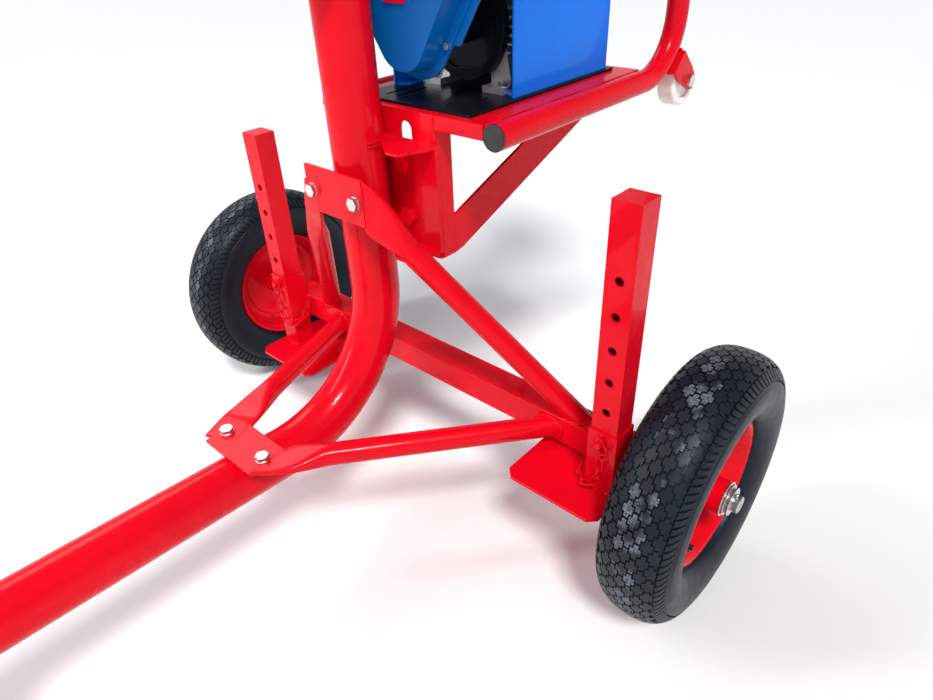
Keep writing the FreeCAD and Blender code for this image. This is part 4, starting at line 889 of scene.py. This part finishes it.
# ---- studio ----------------------------------------------------------------------
def area_light(name, place, target, size, power, colour=(1.0, 1.0, 1.0)):
    """A soft rectangular light aimed at a point."""
    data = bpy.data.lights.new(name, "AREA")
    data.shape = "RECTANGLE"
    data.size, data.size_y = size
    data.energy = power
    data.color = colour
    light = bpy.data.objects.new(name, data)
    bpy.context.scene.collection.objects.link(light)
    light.location = place
    aim = Vector(target) - Vector(place)
    light.rotation_mode = "QUATERNION"
    light.rotation_quaternion = aim.to_track_quat("-Z", "Y")
    return light


def soft_sun(name, from_point, strength, spread, colour):
    """Even light from one side whose wide disc gives soft shadows and broad highlights."""
    data = bpy.data.lights.new(name, "SUN")
    data.energy = strength
    data.angle = math.radians(spread)
    data.color = colour
    light = bpy.data.objects.new(name, data)
    bpy.context.scene.collection.objects.link(light)
    light.rotation_mode = "QUATERNION"
    light.rotation_quaternion = (-Vector(from_point)).to_track_quat("-Z", "Y")
    return light


def surroundings():
    """A world that is pale at the horizon and dim overhead, where paint would mirror it."""
    world = bpy.data.worlds.new("studio")
    bpy.context.scene.world = world
    world.use_nodes = True
    tree = world.node_tree
    place = tree.nodes.new("ShaderNodeTexCoord")
    split = tree.nodes.new("ShaderNodeSeparateXYZ")
    tree.links.new(place.outputs["Generated"], split.inputs[0])
    height = tree.nodes.new("ShaderNodeMapRange")
    height.inputs["From Min"].default_value = 0.10
    height.inputs["From Max"].default_value = 0.50
    tree.links.new(split.outputs["Z"], height.inputs["Value"])
    mix = tree.nodes.new("ShaderNodeMix")
    mix.data_type = "RGBA"
    tree.links.new(height.outputs["Result"], mix.inputs[0])
    mix.inputs[6].default_value = (0.86, 0.87, 0.88, 1.0)
    mix.inputs[7].default_value = (0.26, 0.275, 0.305, 1.0)
    tree.links.new(mix.outputs[2], tree.nodes["Background"].inputs["Color"])


def studio():
    """Pale floor, even surroundings, two soft suns and a strip that draws highlights."""
    scene = bpy.context.scene
    floor_mesh = bpy.data.meshes.new("floor")
    reach = 40.0
    floor_mesh.from_pydata([(-reach, -reach, 0), (reach, -reach, 0), (reach, reach, 0), (-reach, reach, 0)],
                           [], [(0, 1, 2, 3)])
    floor = bpy.data.objects.new("floor", floor_mesh)
    floor_mesh.materials.append(studio_floor())
    scene.collection.objects.link(floor)
    surroundings()
    soft_sun("key", (1.2, -1.0, 2.2), 2.7, 12.0, (1.0, 0.985, 0.955))
    soft_sun("fill", (-2.0, 0.4, 1.8), 0.6, 24.0, (0.93, 0.965, 1.0))
    area_light("strip", (-1.5, -1.7, 2.2), (0.0, 0.2, 0.5), (0.30, 2.2), 44.0)
    scene.view_settings.view_transform = "Standard"
    scene.view_settings.look = "None"
    scene.view_settings.exposure = 0.0


CAMERA_PLACE = (733.5, -710.6, 903.7)
CAMERA_HEADING = 43.02
CAMERA_DIP = 33.82
CAMERA_ROLL = -2.51
CAMERA_LENS = 25.75


def camera():
    """The standing viewer's camera beside the drawbar."""
    heading = math.radians(CAMERA_HEADING)
    dip = math.radians(CAMERA_DIP)
    roll = math.radians(CAMERA_ROLL)
    forward = Vector((-math.sin(heading) * math.cos(dip), math.cos(heading) * math.cos(dip), -math.sin(dip)))
    level = Vector((math.cos(heading), math.sin(heading), 0.0))
    above = level.cross(forward)
    right = level * math.cos(roll) + above * math.sin(roll)
    up = above * math.cos(roll) - level * math.sin(roll)
    data = bpy.data.cameras.new("camera")
    data.sensor_width = 36.0
    data.lens = CAMERA_LENS
    data.dof.use_dof = False
    data.clip_start = 0.01
    seen = bpy.data.objects.new("camera", data)
    bpy.context.scene.collection.objects.link(seen)
    turn = Matrix((right, up, -forward)).transposed()
    seen.matrix_world = Matrix.Translation(spot(*CAMERA_PLACE)) @ turn.to_4x4()
    bpy.context.scene.camera = seen


plain_nodes()
for node_name, edge in SOFT_EDGES.items():
    softened = soften(node_name, edge)
    # The side panels take the lighter copy of the blue enamel, which is painted light.
    if node_name.startswith("side_panel"):
        softened.data.materials[0] = PANEL_BLUE_PAINTED_LIGHT
wheel("right", 1)
wheel("left", -1)
axle()
wheel_washers()
braces()
chain("right", 1)
chain("left", -1)
chassis_welds()
studio()
camera()
